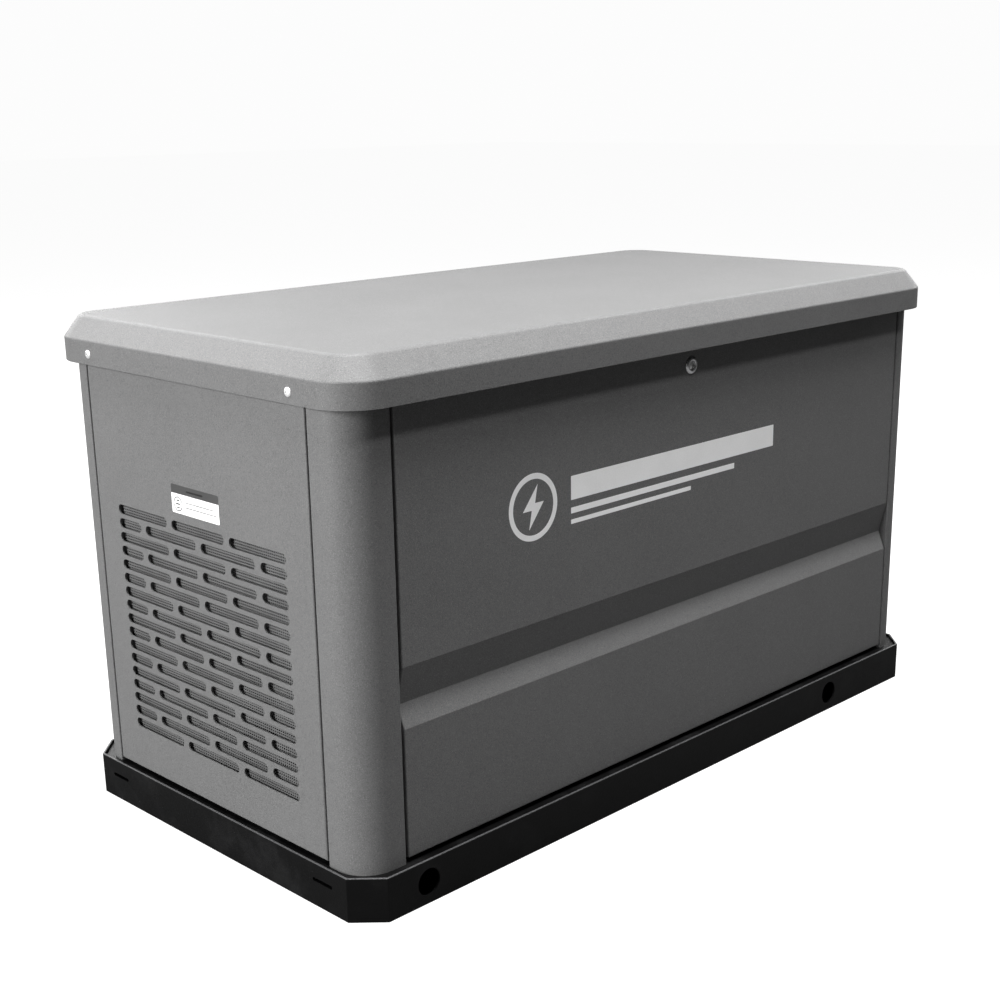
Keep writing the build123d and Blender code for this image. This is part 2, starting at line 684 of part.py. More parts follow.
with BuildPart() as hinge_pins:
    for x in mirrored_x(HINGE_X):
        drum("X", HINGE_AT, (x - HINGE_L / 2, x + HINGE_L / 2), HINGE_PIN_R)
        drum("X", HINGE_AT, (x - HINGE_L / 2 - 2, x - HINGE_L / 2), HINGE_KNUCKLE_R)
        drum("X", HINGE_AT, (x + HINGE_L / 2, x + HINGE_L / 2 + 2), HINGE_KNUCKLE_R)
keep(hinge_pins, "hinge_pins")

# ------------------------------------------------------------ gas struts
EYE_R = 9.0
EYE_T = 10.0
TUBE_WALL = 1.5
TUBE_END = 20.0          # closed strut: tube's end short of the upper pivot
ROD_END = 15.0           # closed strut: rod's end short of the lower pivot
TUBE_LENGTH = STRUT_CLOSED - TUBE_END
ROD_LENGTH = STRUT_CLOSED - ROD_END
PISTON_L = 10.0
STUD_REACH = EYE_T + 6.0
RAIL_INSIDE = RIGHT - RAIL_END

with BuildPart() as strut_lower_brackets:
    for side in (-1, 1):
        wall = side * RAIL_INSIDE
        plate = sorted((wall, wall - side * BRACKET_T))
        y, z = STRUT_LOWER
        block(plate, (y - BRACKET_W / 2, y + BRACKET_W / 2), (z - BRACKET_W / 2, RAIL_TOP))
        tip = side * (STRUT_X - EYE_T / 2 - 3)
        drum("X", STRUT_LOWER, sorted((wall - side * BRACKET_T, tip)), STRUT_STUD_R)
        drum("X", STRUT_LOWER, sorted((tip, tip - side * 2)), STRUT_STUD_R + 2)
keep(strut_lower_brackets, "strut_lower_brackets")

with BuildPart() as strut_upper_brackets:
    for side in (-1, 1):
        wall = side * RIB_X[1]
        plate = sorted((wall, wall + side * BRACKET_T))
        y, z = STRUT_UPPER
        block(plate, (y - BRACKET_W / 2, y + BRACKET_W / 2), (z - EYE_R, LID_CEILING - 1))
        tip = side * (STRUT_X - EYE_T / 2 - 3)
        drum("X", STRUT_UPPER, sorted((wall, tip)), STRUT_STUD_R)
        drum("X", STRUT_UPPER, sorted((tip, tip - side * 2)), STRUT_STUD_R + 2)
keep(strut_upper_brackets, "strut_upper_brackets")


def strut_plane(side, foot, head):
    """A plane at the foot pivot whose normal points along the strut."""
    return Plane(
        origin=(side * STRUT_X, *foot),
        x_dir=(1, 0, 0),
        z_dir=(0, head[0] - foot[0], head[1] - foot[1]),
    )


def strut_tube(side):
    """Pressure tube with its lower eye and the gland that guides the rod."""
    axis = strut_plane(side, STRUT_LOWER, STRUT_UPPER)
    with BuildPart() as tube:
        with BuildSketch(axis.offset(EYE_R)):
            Circle(STRUT_TUBE_R)
        extrude(amount=TUBE_LENGTH - EYE_R)
        with BuildSketch(axis.offset(EYE_R + 3 * TUBE_WALL)):
            Circle(STRUT_TUBE_R - TUBE_WALL)
        extrude(amount=TUBE_LENGTH - EYE_R - 7 * TUBE_WALL, mode=Mode.SUBTRACT)
        with BuildSketch(axis.offset(TUBE_LENGTH)):
            Circle(STRUT_ROD_R + STRUT_PLAY)
        extrude(amount=-8 * TUBE_WALL, mode=Mode.SUBTRACT)
        with BuildSketch(axis):
            Rectangle(EYE_T, EYE_T)
        extrude(amount=EYE_R + TUBE_WALL)
        span = (side * STRUT_X - EYE_T / 2, side * STRUT_X + EYE_T / 2)
        drum("X", STRUT_LOWER, span, EYE_R)
        drum("X", STRUT_LOWER, span, STRUT_STUD_R + STRUT_PLAY, Mode.SUBTRACT)
    return tube


def strut_rod(side):
    """Piston rod with its upper eye and the piston inside the tube."""
    axis = strut_plane(side, STRUT_UPPER, STRUT_LOWER)
    with BuildPart() as rod:
        with BuildSketch(axis):
            Circle(STRUT_ROD_R)
        extrude(amount=ROD_LENGTH)
        with BuildSketch(axis.offset(ROD_LENGTH - PISTON_L)):
            Circle(STRUT_TUBE_R - TUBE_WALL - FIT_GAP)
        extrude(amount=PISTON_L)
        span = (side * STRUT_X - EYE_T / 2, side * STRUT_X + EYE_T / 2)
        drum("X", STRUT_UPPER, span, EYE_R - 1)
        drum("X", STRUT_UPPER, span, STRUT_STUD_R + STRUT_PLAY, Mode.SUBTRACT)
    return rod


strut_tube_left = strut_tube(-1)
keep(strut_tube_left, "strut_tube_left")
strut_tube_right = strut_tube(1)
keep(strut_tube_right, "strut_tube_right")
strut_rod_left = strut_rod(-1)
keep(strut_rod_left, "strut_rod_left")
strut_rod_right = strut_rod(1)
keep(strut_rod_right, "strut_rod_right")

# ------------------------------------------------------------ front door
def door_profile(back, grow):
    """The door's section across its height, with the pressed groove."""
    skin = FRONT + grow
    return (
        (skin, PANEL_Z + grow),
        (skin, GROOVE_BOTTOM),
        (skin + GROOVE_DEPTH, GROOVE_VALLEY),
        (skin, GROOVE_TOP),
        (skin, PANEL_TOP - grow),
        (back, PANEL_TOP - grow),
        (back, PANEL_Z + grow),
    )


with BuildPart() as front_door:
    with BuildSketch(Plane.YZ.offset(DOOR_X0)):
        Polygon(*door_profile(DOOR_BACK, 0), align=None)
    extrude(amount=DOOR_X1 - DOOR_X0)
    with BuildSketch(Plane.YZ.offset(DOOR_X0 + SKIN)):
        Polygon(*door_profile(DOOR_BACK - SKIN, SKIN), align=None)
    extrude(amount=DOOR_X1 - DOOR_X0 - 2 * SKIN, mode=Mode.SUBTRACT)
    block(
        (DOOR_X0 + DOOR_LIP, DOOR_X1 - DOOR_LIP),
        (DOOR_BACK - SKIN, DOOR_BACK),
        (PANEL_Z + DOOR_FRAME_W, PANEL_TOP - DOOR_FRAME_TOP + SKIN),
        Mode.SUBTRACT,
    )
    lock_hole = LOCK_BODY_R + LOCK_PLAY
    drum("Y", (LOCK_X, LOCK_Z), (FRONT, DOOR_BACK), lock_hole, Mode.SUBTRACT)
keep(front_door, "front_door")

DOOR_LINER_T = 14.0

with BuildPart() as door_liner:
    block(
        (DOOR_X0 + 2 * DOOR_LIP, DOOR_X1 - 2 * DOOR_LIP),
        (FRONT + SKIN, FRONT + SKIN + DOOR_LINER_T),
        (GROOVE_TOP + DOOR_LIP, LOCK_Z - DOOR_LIP),
    )
keep(door_liner, "door_liner")

with BuildPart() as door_pins:
    for x in PIN_X:
        drum("Y", (x, PIN_Z), (DOOR_BACK, FRAME_Y1 + 6), PIN_R)
    chamfer(faces().group_by(Axis.Y)[-1].edges(), 1.5)
keep(door_pins, "door_pins")

CAM_Y0 = FRAME_Y1 + 6.0
LOCK_AT = (LOCK_X, LOCK_Z)
LOCK_PROUD = 3.0
NUT_R = 13.0
NUT_T = 6.0

with BuildPart() as lock_barrel:
    drum("Y", LOCK_AT, (FRONT - LOCK_PROUD, FRONT), LOCK_HEAD_R)
    chamfer(faces().group_by(Axis.Y)[0].edges(), 1)
    drum("Y", LOCK_AT, (FRONT, CAM_Y0 - 1), LOCK_BODY_R)
    drum("Y", LOCK_AT, (FRONT - LOCK_PROUD, CAM_Y0), LOCK_PLUG_R + LOCK_PLAY, Mode.SUBTRACT)
    with BuildSketch(Plane.XZ.offset(-FRONT - SKIN)):
        with Locations(LOCK_AT):
            RegularPolygon(NUT_R, 6)
            Circle(LOCK_BODY_R, mode=Mode.SUBTRACT)
    extrude(amount=-NUT_T)
keep(lock_barrel, "lock_barrel")

TAIL_R = 4.0

with BuildPart() as lock_plug:
    drum("Y", LOCK_AT, (FRONT - LOCK_PROUD - 0.5, CAM_Y0), LOCK_PLUG_R)
    drum("Y", LOCK_AT, (CAM_Y0, CAM_Y0 + CAM_T + 2), TAIL_R)
    block(
        (LOCK_X - 4, LOCK_X + 4),
        (FRONT - LOCK_PROUD - 0.5, FRONT),
        (LOCK_Z - 0.8, LOCK_Z + 0.8),
        Mode.SUBTRACT,
    )
keep(lock_plug, "lock_plug")

with BuildPart() as lock_cam:
    block(
        (LOCK_X - CAM_L, LOCK_X),
        (CAM_Y0, CAM_Y0 + CAM_T),
        (LOCK_Z - CAM_W / 2, LOCK_Z + CAM_W / 2),
    )
    drum("Y", LOCK_AT, (CAM_Y0, CAM_Y0 + CAM_T), CAM_W / 2)
    drum("Y", LOCK_AT, (CAM_Y0, CAM_Y0 + CAM_T), TAIL_R, Mode.SUBTRACT)
keep(lock_cam, "lock_cam")

KEEPER_Z0 = LOCK_Z - CAM_W
LEG_Y0 = CAM_Y0 + 2 * CAM_T

with BuildPart() as lock_keeper:
    block(LEG_X, (FRAME_Y1, FRAME_Y1 + DOOR_FRAME_T), (KEEPER_Z0, RAIL_Z - 1))
keep(lock_keeper, "lock_keeper")

with BuildPart() as lock_striker:
    block(LEG_X, (LEG_Y0, LEG_Y0 + RIB_T), (KEEPER_Z0 - RIB_T, LID_CEILING))
    block(LEG_X, (CAM_Y0 + 0.5, LEG_Y0), (KEEPER_Z0 - RIB_T, KEEPER_Z0))
    block(LEG_X, (LEG_Y0, LEG_Y0 + 26), (LID_CEILING - RIB_T, LID_CEILING))
keep(lock_striker, "lock_striker")

# ------------------------------------------------------------ engine
AXIS = (SHAFT_Y, SHAFT_Z)
SHOULDER_D = (CASE_HALF + CASE_SHOULDER) * cos(radians(V_ANGLE))


def bank_plane(side, x, distance):
    """A plane across one cylinder's axis; side is -1 at the front, 1 at the rear."""
    lean = (0, side * sin(radians(V_ANGLE)), cos(radians(V_ANGLE)))
    origin = (x, SHAFT_Y + distance * lean[1], SHAFT_Z + distance * lean[2])
    return Plane(origin=origin, x_dir=(1, 0, 0), z_dir=lean)


def case_section(x, wall):
    """The crankcase outline across the shaft, drawn in by a wall, with bank seats."""
    half = CASE_HALF - wall
    drop = CASE_DROP - wall
    shoulder = CASE_SHOULDER + wall * (1 - 1 / cos(radians(V_ANGLE)))
    with BuildSketch(Plane.YZ.offset(x)) as section:
        with Locations(AXIS):
            Polygon(
                (-half, -drop),
                (half, -drop),
                (half, shoulder),
                (shoulder, half),
                (-shoulder, half),
                (-half, shoulder),
                align=None,
            )
    return section.sketch


MAIN_BEARINGS = ((CASE_X0, CASE_X0 + BEARING_W), (CASE_X1 - BEARING_W, CASE_X1))
FOOT_Y = (SHAFT_Y - RAIL_SPREAD - SKID_W / 2, SHAFT_Y + RAIL_SPREAD + SKID_W / 2)
FOOT_T = 12.0

with BuildPart() as crankcase:
    extrude(case_section(CASE_X0, 0), amount=CASE_X1 - CASE_X0)
    block((MOUNT_X[1] - 25, MOUNT_X[1] + 25), FOOT_Y, (MOUNT_TOP, MOUNT_TOP + FOOT_T))
    block(
        (MOUNT_X[1] - 15, MOUNT_X[1] + 15),
        (SHAFT_Y - CASE_HALF + 20, SHAFT_Y + CASE_HALF - 20),
        (MOUNT_TOP, SHAFT_Z - CASE_DROP),
    )
    hollow = case_section(CASE_X0 + BEARING_W, CASE_WALL)
    extrude(hollow, amount=CASE_X1 - CASE_X0 - 2 * BEARING_W, mode=Mode.SUBTRACT)
    for span in MAIN_BEARINGS:
        drum("X", AXIS, span, BEARING_R, Mode.SUBTRACT)
    for side, x in zip((-1, 1), CYL_X):
        with BuildSketch(bank_plane(side, x, SHOULDER_D - 2 * CASE_WALL)):
            Circle(BORE_R)
        extrude(amount=2 * CASE_WALL, mode=Mode.SUBTRACT)
keep(crankcase, "crankcase")

with BuildPart() as cylinders:
    for side, x in zip((-1, 1), CYL_X):
        with BuildSketch(bank_plane(side, x, SHOULDER_D)):
            Circle(CYL_R)
        extrude(amount=CYL_TOP - SHOULDER_D)
        fin = SHOULDER_D + FIN_PITCH
        while fin < CYL_TOP - FIN_T:
            with BuildSketch(bank_plane(side, x, fin)):
                Circle(FIN_R)
            extrude(amount=FIN_T)
            fin += FIN_PITCH
        with BuildSketch(bank_plane(side, x, SHOULDER_D)):
            Circle(BORE_R)
        extrude(amount=CYL_TOP - SHOULDER_D, mode=Mode.SUBTRACT)
keep(cylinders, "cylinders")

with BuildPart() as cylinder_heads:
    for side, x in zip((-1, 1), CYL_X):
        with BuildSketch(bank_plane(side, x, CYL_TOP)):
            RectangleRounded(HEAD_W, HEAD_W, 8)
        extrude(amount=HEAD_H)
        with BuildSketch(bank_plane(side, x, CYL_TOP + HEAD_H)):
            RectangleRounded(COVER_W, COVER_W, 14)
        extrude(amount=COVER_H)
keep(cylinder_heads, "cylinder_heads")

with BuildPart() as shaft_bearings:
    for span in (*MAIN_BEARINGS, (ALT_X0, ALT_X0 + BEARING_W)):
        drum("X", AXIS, span, BEARING_R)
        drum("X", AXIS, span, SHAFT_R + SHAFT_PLAY, Mode.SUBTRACT)
keep(shaft_bearings, "shaft_bearings")

MIXER_X = sum(CYL_X) / 2
WEB_R = 55.0
WEB_T = 12.0
THROW = 32.0
THROW_X = (MIXER_X - 30.0, MIXER_X + 30.0)
CRANK_X0 = ALT_X0 - 5.0
CRANK_X1 = FAN_X + 30.0

with BuildPart() as crankshaft:
    drum("X", AXIS, (CRANK_X0, THROW_X[0]), SHAFT_R)
    drum("X", AXIS, (THROW_X[1], CRANK_X1), SHAFT_R)
    drum("X", AXIS, (THROW_X[0], THROW_X[0] + WEB_T), WEB_R)
    drum("X", AXIS, (THROW_X[1] - WEB_T, THROW_X[1]), WEB_R)
    pin_at = (SHAFT_Y, SHAFT_Z + THROW)
    drum("X", pin_at, (THROW_X[0] + WEB_T, THROW_X[1] - WEB_T), SHAFT_R)
keep(crankshaft, "crankshaft")

HUB_R = 38.0
HUB_X1 = CRANK_X1 - 5.0
BLADES = 14
DISC_T = 10.0
BLADE_H = 26.0

with BuildPart() as flywheel_fan:
    drum("X", AXIS, (FAN_X, FAN_X + DISC_T), FAN_R)
    drum("X", AXIS, (FAN_X - DISC_T / 2, HUB_X1), HUB_R)
    with BuildSketch(Plane.YZ.offset(FAN_X + DISC_T)):
        with Locations(AXIS):
            with PolarLocations((FAN_R + HUB_R) / 2 + 18, BLADES):
                Rectangle(FAN_R - HUB_R - 42, 3, rotation=28)
    extrude(amount=BLADE_H)
    drum("X", AXIS, (FAN_X - DISC_T / 2, HUB_X1), SHAFT_R, Mode.SUBTRACT)
keep(flywheel_fan, "flywheel_fan")

HOUSING_T = 5.0
HOUSING_X1 = FAN_X + DISC_T + BLADE_H + 6.0

with BuildPart() as fan_housing:
    drum("X", AXIS, (CASE_X1, HOUSING_X1), FAN_HOUSING_R)
    inside = FAN_HOUSING_R - HOUSING_T
    drum("X", AXIS, (CASE_X1 + HOUSING_T, HOUSING_X1), inside, Mode.SUBTRACT)
    drum("X", AXIS, (CASE_X1, CASE_X1 + HOUSING_T), BEARING_R + 30, Mode.SUBTRACT)
keep(fan_housing, "fan_housing")

with BuildPart() as alternator_housing:
    drum("X", AXIS, (ALT_X0, CASE_X0), ALT_R)
    foot_x = MOUNT_X[0]
    block((foot_x - 25, foot_x + 25), FOOT_Y, (MOUNT_TOP, MOUNT_TOP + FOOT_T))
    block((foot_x - 12, foot_x + 12), (SHAFT_Y - 80, SHAFT_Y + 80), (MOUNT_TOP, SHAFT_Z - 80))
    drum("X", AXIS, (ALT_X0 + BEARING_W, CASE_X0), ALT_R - ALT_WALL, Mode.SUBTRACT)
    drum("X", AXIS, (ALT_X0, ALT_X0 + BEARING_W), BEARING_R, Mode.SUBTRACT)
    with BuildSketch(Plane.YZ.offset(ALT_X0)):
        with Locations(AXIS):
            with PolarLocations((BEARING_R + ALT_R) / 2, 8):
                Circle(18)
    extrude(amount=BEARING_W, mode=Mode.SUBTRACT)
keep(alternator_housing, "alternator_housing")

STATOR_X = (ALT_X0 + 2 * BEARING_W, CASE_X0 - 2 * BEARING_W)

with BuildPart() as alternator_stator:
    drum("X", AXIS, STATOR_X, ALT_R - ALT_WALL)
    drum("X", AXIS, STATOR_X, STATOR_BORE_R, Mode.SUBTRACT)
keep(alternator_stator, "alternator_stator")

POLE_SLOT = 24.0

with BuildPart() as alternator_rotor:
    drum("X", AXIS, STATOR_X, ROTOR_R)
    for side in (-1, 1):
        middle = SHAFT_Y + side * ROTOR_R
        block(
            STATOR_X,
            (middle - POLE_SLOT, middle + POLE_SLOT),
            (SHAFT_Z - POLE_SLOT, SHAFT_Z + POLE_SLOT),
            Mode.SUBTRACT,
        )
    drum("X", AXIS, STATOR_X, SHAFT_R, Mode.SUBTRACT)
keep(alternator_rotor, "alternator_rotor")

CASE_FRONT = SHAFT_Y - CASE_HALF
CASE_TOP = SHAFT_Z + CASE_HALF
MIXER_R = 30.0
MIXER_TOP = CASE_TOP + 105.0
ARM_R = 13.0
ARM_Z = MIXER_TOP - ARM_R

with BuildPart() as intake_mixer:
    drum("Z", (MIXER_X, SHAFT_Y), (CASE_TOP, MIXER_TOP), MIXER_R)
    drum("Y", (MIXER_X, ARM_Z), (SHAFT_Y - 140, SHAFT_Y + 140), ARM_R)
    add(cylinder_heads.part, mode=Mode.SUBTRACT)
    add(cylinders.part, mode=Mode.SUBTRACT)
keep(intake_mixer, "intake_mixer")

CLEANER_HALF = 90.0
CLEANER_H = 90.0

with BuildPart() as air_cleaner:
    block(
        (MIXER_X - CLEANER_HALF, MIXER_X + CLEANER_HALF),
        (SHAFT_Y - CLEANER_HALF, SHAFT_Y + CLEANER_HALF),
        (MIXER_TOP, MIXER_TOP + CLEANER_H),
    )
    fillet(edges().filter_by(Axis.Z), 25)
    fillet(faces().sort_by(Axis.Z)[-1].edges(), 8)
keep(air_cleaner, "air_cleaner")

FILTER_AT = (CASE_X1 - 40.0, SHAFT_Z - 70.0)
FILTER_R = 38.0

with BuildPart() as oil_filter:
    drum("Y", FILTER_AT, (CASE_FRONT - 95, CASE_FRONT), FILTER_R)
    fillet(faces().sort_by(Axis.Y)[0].edges(), 8)
keep(oil_filter, "oil_filter")

STARTER_AT = (CASE_FRONT - 36, SHAFT_Z - 90.0)
STARTER_R = 30.0
STARTER_X = (CASE_X0 + 10.0, CASE_X0 + 115.0)

with BuildPart() as starter_motor:
    drum("X", STARTER_AT, STARTER_X, STARTER_R)
    coil = (STARTER_X[0] + 15, STARTER_X[1] - 30)
    drum("X", (STARTER_AT[0], STARTER_AT[1] + 42), coil, 14)
    nose = (STARTER_X[0] + 10, STARTER_X[0] + 40)
    block(nose, (STARTER_AT[0], CASE_FRONT), (STARTER_AT[1] - 22, STARTER_AT[1] + 44))
keep(starter_motor, "starter_motor")

# ------------------------------------------------------------ exhaust
BANK_MID = CYL_TOP + HEAD_H / 2
PORT_Z = SHAFT_Z + BANK_MID * cos(radians(V_ANGLE))
PORT_DY = BANK_MID * sin(radians(V_ANGLE))
MUFFLER_Y = (SHAFT_Y - PORT_DY - 55, SHAFT_Y + PORT_DY + 55)
TAIL_X1 = RIGHT - PANEL_DEPTH - 10

with BuildPart() as muffler:
    drum("Y", (MUFFLER_X, PORT_Z), MUFFLER_Y, MUFFLER_R)
    fillet(faces().filter_by(Axis.Y).edges(), 12)
    for y in (MUFFLER_Y[0] + 60, MUFFLER_Y[1] - 60):
        block((MUFFLER_X - 20, MUFFLER_X + 20), (y - 2, y + 2), (BASE_WALL, PORT_Z - MUFFLER_R + 6))
        block((MUFFLER_X - 20, MUFFLER_X + 20), (y - 20, y + 20), (BASE_WALL, 2 * BASE_WALL))
keep(muffler, "muffler")

with BuildPart() as exhaust_pipes:
    for side, x in zip((-1, 1), CYL_X):
        start = x + HEAD_W / 2
        drum("X", (SHAFT_Y + side * PORT_DY, PORT_Z), (start, MUFFLER_X), PIPE_R)
        drum("X", (SHAFT_Y + side * PORT_DY, PORT_Z), (start, start + 8), PIPE_R + 10)
    drum("X", (SHAFT_Y, PORT_Z), (MUFFLER_X, TAIL_X1), PIPE_R + 4)
    drum("X", (SHAFT_Y, PORT_Z), (MUFFLER_X, TAIL_X1), PIPE_R + 2, Mode.SUBTRACT)
    add(muffler.part, mode=Mode.SUBTRACT)
    block(
        (MUFFLER_X - MUFFLER_R / 2, MUFFLER_X + MUFFLER_R / 2),
        MUFFLER_Y,
        (PORT_Z - MUFFLER_R / 2, PORT_Z + MUFFLER_R / 2),
        Mode.SUBTRACT,
    )
keep(exhaust_pipes, "exhaust_pipes")

# ------------------------------------------------------------ fuel and electrics
REGULATOR = (
    (PARTITION_X + PARTITION_T, PARTITION_X + 80.0),
    (REAR - 101.0, REAR - 34.0),
    (SERVICE_Z - 30.0, SERVICE_Z + 50.0),
)
CAP_AT = (PARTITION_X + 40.0, REAR - 68.0)
CAP_R = 24.0
CAP_TOP = REGULATOR[2][1] + 12.0

with BuildPart() as fuel_regulator:
    block(*REGULATOR)
    drum("Z", CAP_AT, (REGULATOR[2][1], CAP_TOP), CAP_R)
keep(fuel_regulator, "fuel_regulator")

with BuildPart() as gas_inlet:
    drum("Y", (GAS_X, SERVICE_Z), (REGULATOR[1][1], REAR + GLAND_R), NIPPLE_R)
    drum("Y", (GAS_X, SERVICE_Z), (REGULATOR[1][1], REAR + GLAND_R), NIPPLE_BORE_R, Mode.SUBTRACT)
keep(gas_inlet, "gas_inlet")

HOSE_R = 9.0
HOSE_BEND = 60.0
HOSE_START = (*CAP_AT, CAP_TOP)
HOSE_Z = CASE_TOP + 55.0

with BuildPart() as gas_hose:
    with BuildLine() as route:
        FilletPolyline(
            HOSE_START,
            (HOSE_START[0], HOSE_START[1], HOSE_Z),
            (HOSE_START[0], SHAFT_Y, HOSE_Z),
            (MIXER_X - MIXER_R + 1, SHAFT_Y, HOSE_Z),
            radius=HOSE_BEND,
        )
    with BuildSketch(Plane.XY.offset(HOSE_START[2])):
        with Locations(HOSE_START[:2]):
            Circle(HOSE_R)
    sweep()
    drum("Z", (MIXER_X, SHAFT_Y), (CASE_TOP, MIXER_TOP), MIXER_R, Mode.SUBTRACT)
keep(gas_hose, "gas_hose")

BATTERY = (
    (PARTITION_X - 148.0, PARTITION_X - 12.0),
    (FRONT + 51.0, FRONT + 231.0),
    (BASE_WALL, BASE_WALL + 190.0),
)
TERMINAL_R = 8.0

with BuildPart() as battery:
    block(*BATTERY)
    fillet(edges().filter_by(Axis.Z), 6)
    for y in (BATTERY[1][0] + 30, BATTERY[1][1] - 30):
        drum("Z", (BATTERY[0][0] + 25, y), (BATTERY[2][1], BATTERY[2][1] + 14), TERMINAL_R)
keep(battery, "battery")

ROCKER_HALF = (10.0, 15.0)
ROCKER_D = 11.0
ROCKER_SIDE = 0.4
TRUNNION_R = 2.5         # round ends on which the mode switch rocks
TRUNNION_PLAY = 0.1
BREAKER_HALF = (25.0, 45.0)
BREAKER_OUT = 8.0
BREAKER_IN = 45.0
TOGGLE_R = 7.0
TOGGLE_HALF = 6.0
TOGGLE_L = 20.0
TOGGLE_TILT = 20.0

with BuildPart() as control_box:
    block((BOX_X0, PARTITION_X), (BOX_Y0, BOX_Y1), (BOX_Z0, BOX_Z1))
    block(
        (BOX_X0 + SKIN, PARTITION_X - SKIN),
        (BOX_Y0 + SKIN, BOX_Y1 - SKIN),
        (BOX_Z0 + SKIN, BOX_Z1 - SKIN),
        Mode.SUBTRACT,
    )
    block(
        (BREAKER_X - BREAKER_HALF[0], BREAKER_X + BREAKER_HALF[0]),
        (BOX_Y0, BOX_Y0 + SKIN),
        (BREAKER_Z - BREAKER_HALF[1], BREAKER_Z + BREAKER_HALF[1]),
        Mode.SUBTRACT,
    )
    block(
        (ROCKER_X - ROCKER_HALF[0] - ROCKER_SIDE, ROCKER_X + ROCKER_HALF[0] + ROCKER_SIDE),
        (BOX_Y0, BOX_Y0 + SKIN),
        (ROCKER_Z - ROCKER_HALF[1] - 3, ROCKER_Z + ROCKER_HALF[1] + 3),
        Mode.SUBTRACT,
    )
keep(control_box, "control_box")

with BuildPart() as mode_rocker:
    with BuildSketch(Plane.YZ.offset(ROCKER_X - ROCKER_HALF[0])):
        with Locations((BOX_Y0, ROCKER_Z)):
            Polygon(
                (ROCKER_D / 2, -ROCKER_HALF[1] * 0.7),
                (ROCKER_D / 2, ROCKER_HALF[1] * 0.7),
                (-ROCKER_D / 2, ROCKER_HALF[1]),
                (-ROCKER_D / 4, 0),
                (-ROCKER_D / 2, -ROCKER_HALF[1]),
                align=None,
            )
    extrude(amount=2 * ROCKER_HALF[0])
    reach = ROCKER_HALF[0] + ROCKER_SIDE - TRUNNION_PLAY
    drum("X", (BOX_Y0, ROCKER_Z), (ROCKER_X - reach, ROCKER_X + reach), TRUNNION_R)
keep(mode_rocker, "mode_rocker")

TOGGLE_AT = (BOX_Y0 - BREAKER_OUT + 1.0, BREAKER_Z)

with BuildPart() as breaker_body:
    block(
        (BREAKER_X - BREAKER_HALF[0], BREAKER_X + BREAKER_HALF[0]),
        (BOX_Y0 - BREAKER_OUT, BOX_Y0 + BREAKER_IN),
        (BREAKER_Z - BREAKER_HALF[1], BREAKER_Z + BREAKER_HALF[1]),
    )
    block(
        (BREAKER_X - TOGGLE_HALF - 0.5, BREAKER_X + TOGGLE_HALF + 0.5),
        (BOX_Y0 - BREAKER_OUT, BOX_Y0 + 2),
        (BREAKER_Z - 12, BREAKER_Z + 12),
        Mode.SUBTRACT,
    )
keep(breaker_body, "breaker_body")

TOGGLE_LEAN = (
    0,
    -cos(radians(TOGGLE_TILT)),
    sin(radians(TOGGLE_TILT)),
)

with BuildPart() as breaker_toggle:
    drum("X", TOGGLE_AT, (BREAKER_X - TOGGLE_HALF, BREAKER_X + TOGGLE_HALF), TOGGLE_R)
    with BuildSketch(Plane(origin=(BREAKER_X, *TOGGLE_AT), x_dir=(1, 0, 0), z_dir=TOGGLE_LEAN)):
        Rectangle(2 * TOGGLE_HALF, 7)
    extrude(amount=TOGGLE_L)
keep(breaker_toggle, "breaker_toggle")
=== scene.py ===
"""Looks of a home standby generator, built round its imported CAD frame."""

import json
from math import cos, hypot, pi, radians, sin, sqrt, tan

import bmesh
import bpy
from bpy.props import FloatProperty, FloatVectorProperty, IntProperty, PointerProperty
from mathutils import Matrix, Vector


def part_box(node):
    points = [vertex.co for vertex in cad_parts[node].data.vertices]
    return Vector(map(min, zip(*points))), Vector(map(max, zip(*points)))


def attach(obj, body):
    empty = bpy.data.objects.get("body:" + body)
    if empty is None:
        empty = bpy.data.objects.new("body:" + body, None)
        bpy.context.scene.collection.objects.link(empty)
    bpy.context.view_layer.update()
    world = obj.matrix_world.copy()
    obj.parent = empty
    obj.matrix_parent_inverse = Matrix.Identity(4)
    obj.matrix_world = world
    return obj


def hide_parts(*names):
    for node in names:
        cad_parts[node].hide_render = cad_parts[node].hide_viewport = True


bl_info = {
    "name": "Standby Generator Looks",
    "version": (1, 0, 0),
    "blender": (4, 5, 0),
    "location": "3D View > Sidebar > Generator",
    "description": "Sheet-metal skins, grilles, fasteners and finishes for a home standby generator",
    "category": "Object",
}

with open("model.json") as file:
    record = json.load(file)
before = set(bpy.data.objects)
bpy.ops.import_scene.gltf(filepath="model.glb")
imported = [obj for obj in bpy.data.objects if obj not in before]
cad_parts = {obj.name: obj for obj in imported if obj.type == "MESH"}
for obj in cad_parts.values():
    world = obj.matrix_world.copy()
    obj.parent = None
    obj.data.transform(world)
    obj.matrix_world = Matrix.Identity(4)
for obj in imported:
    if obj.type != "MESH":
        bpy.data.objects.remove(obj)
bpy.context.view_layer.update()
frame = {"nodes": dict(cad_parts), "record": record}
MM = 0.001

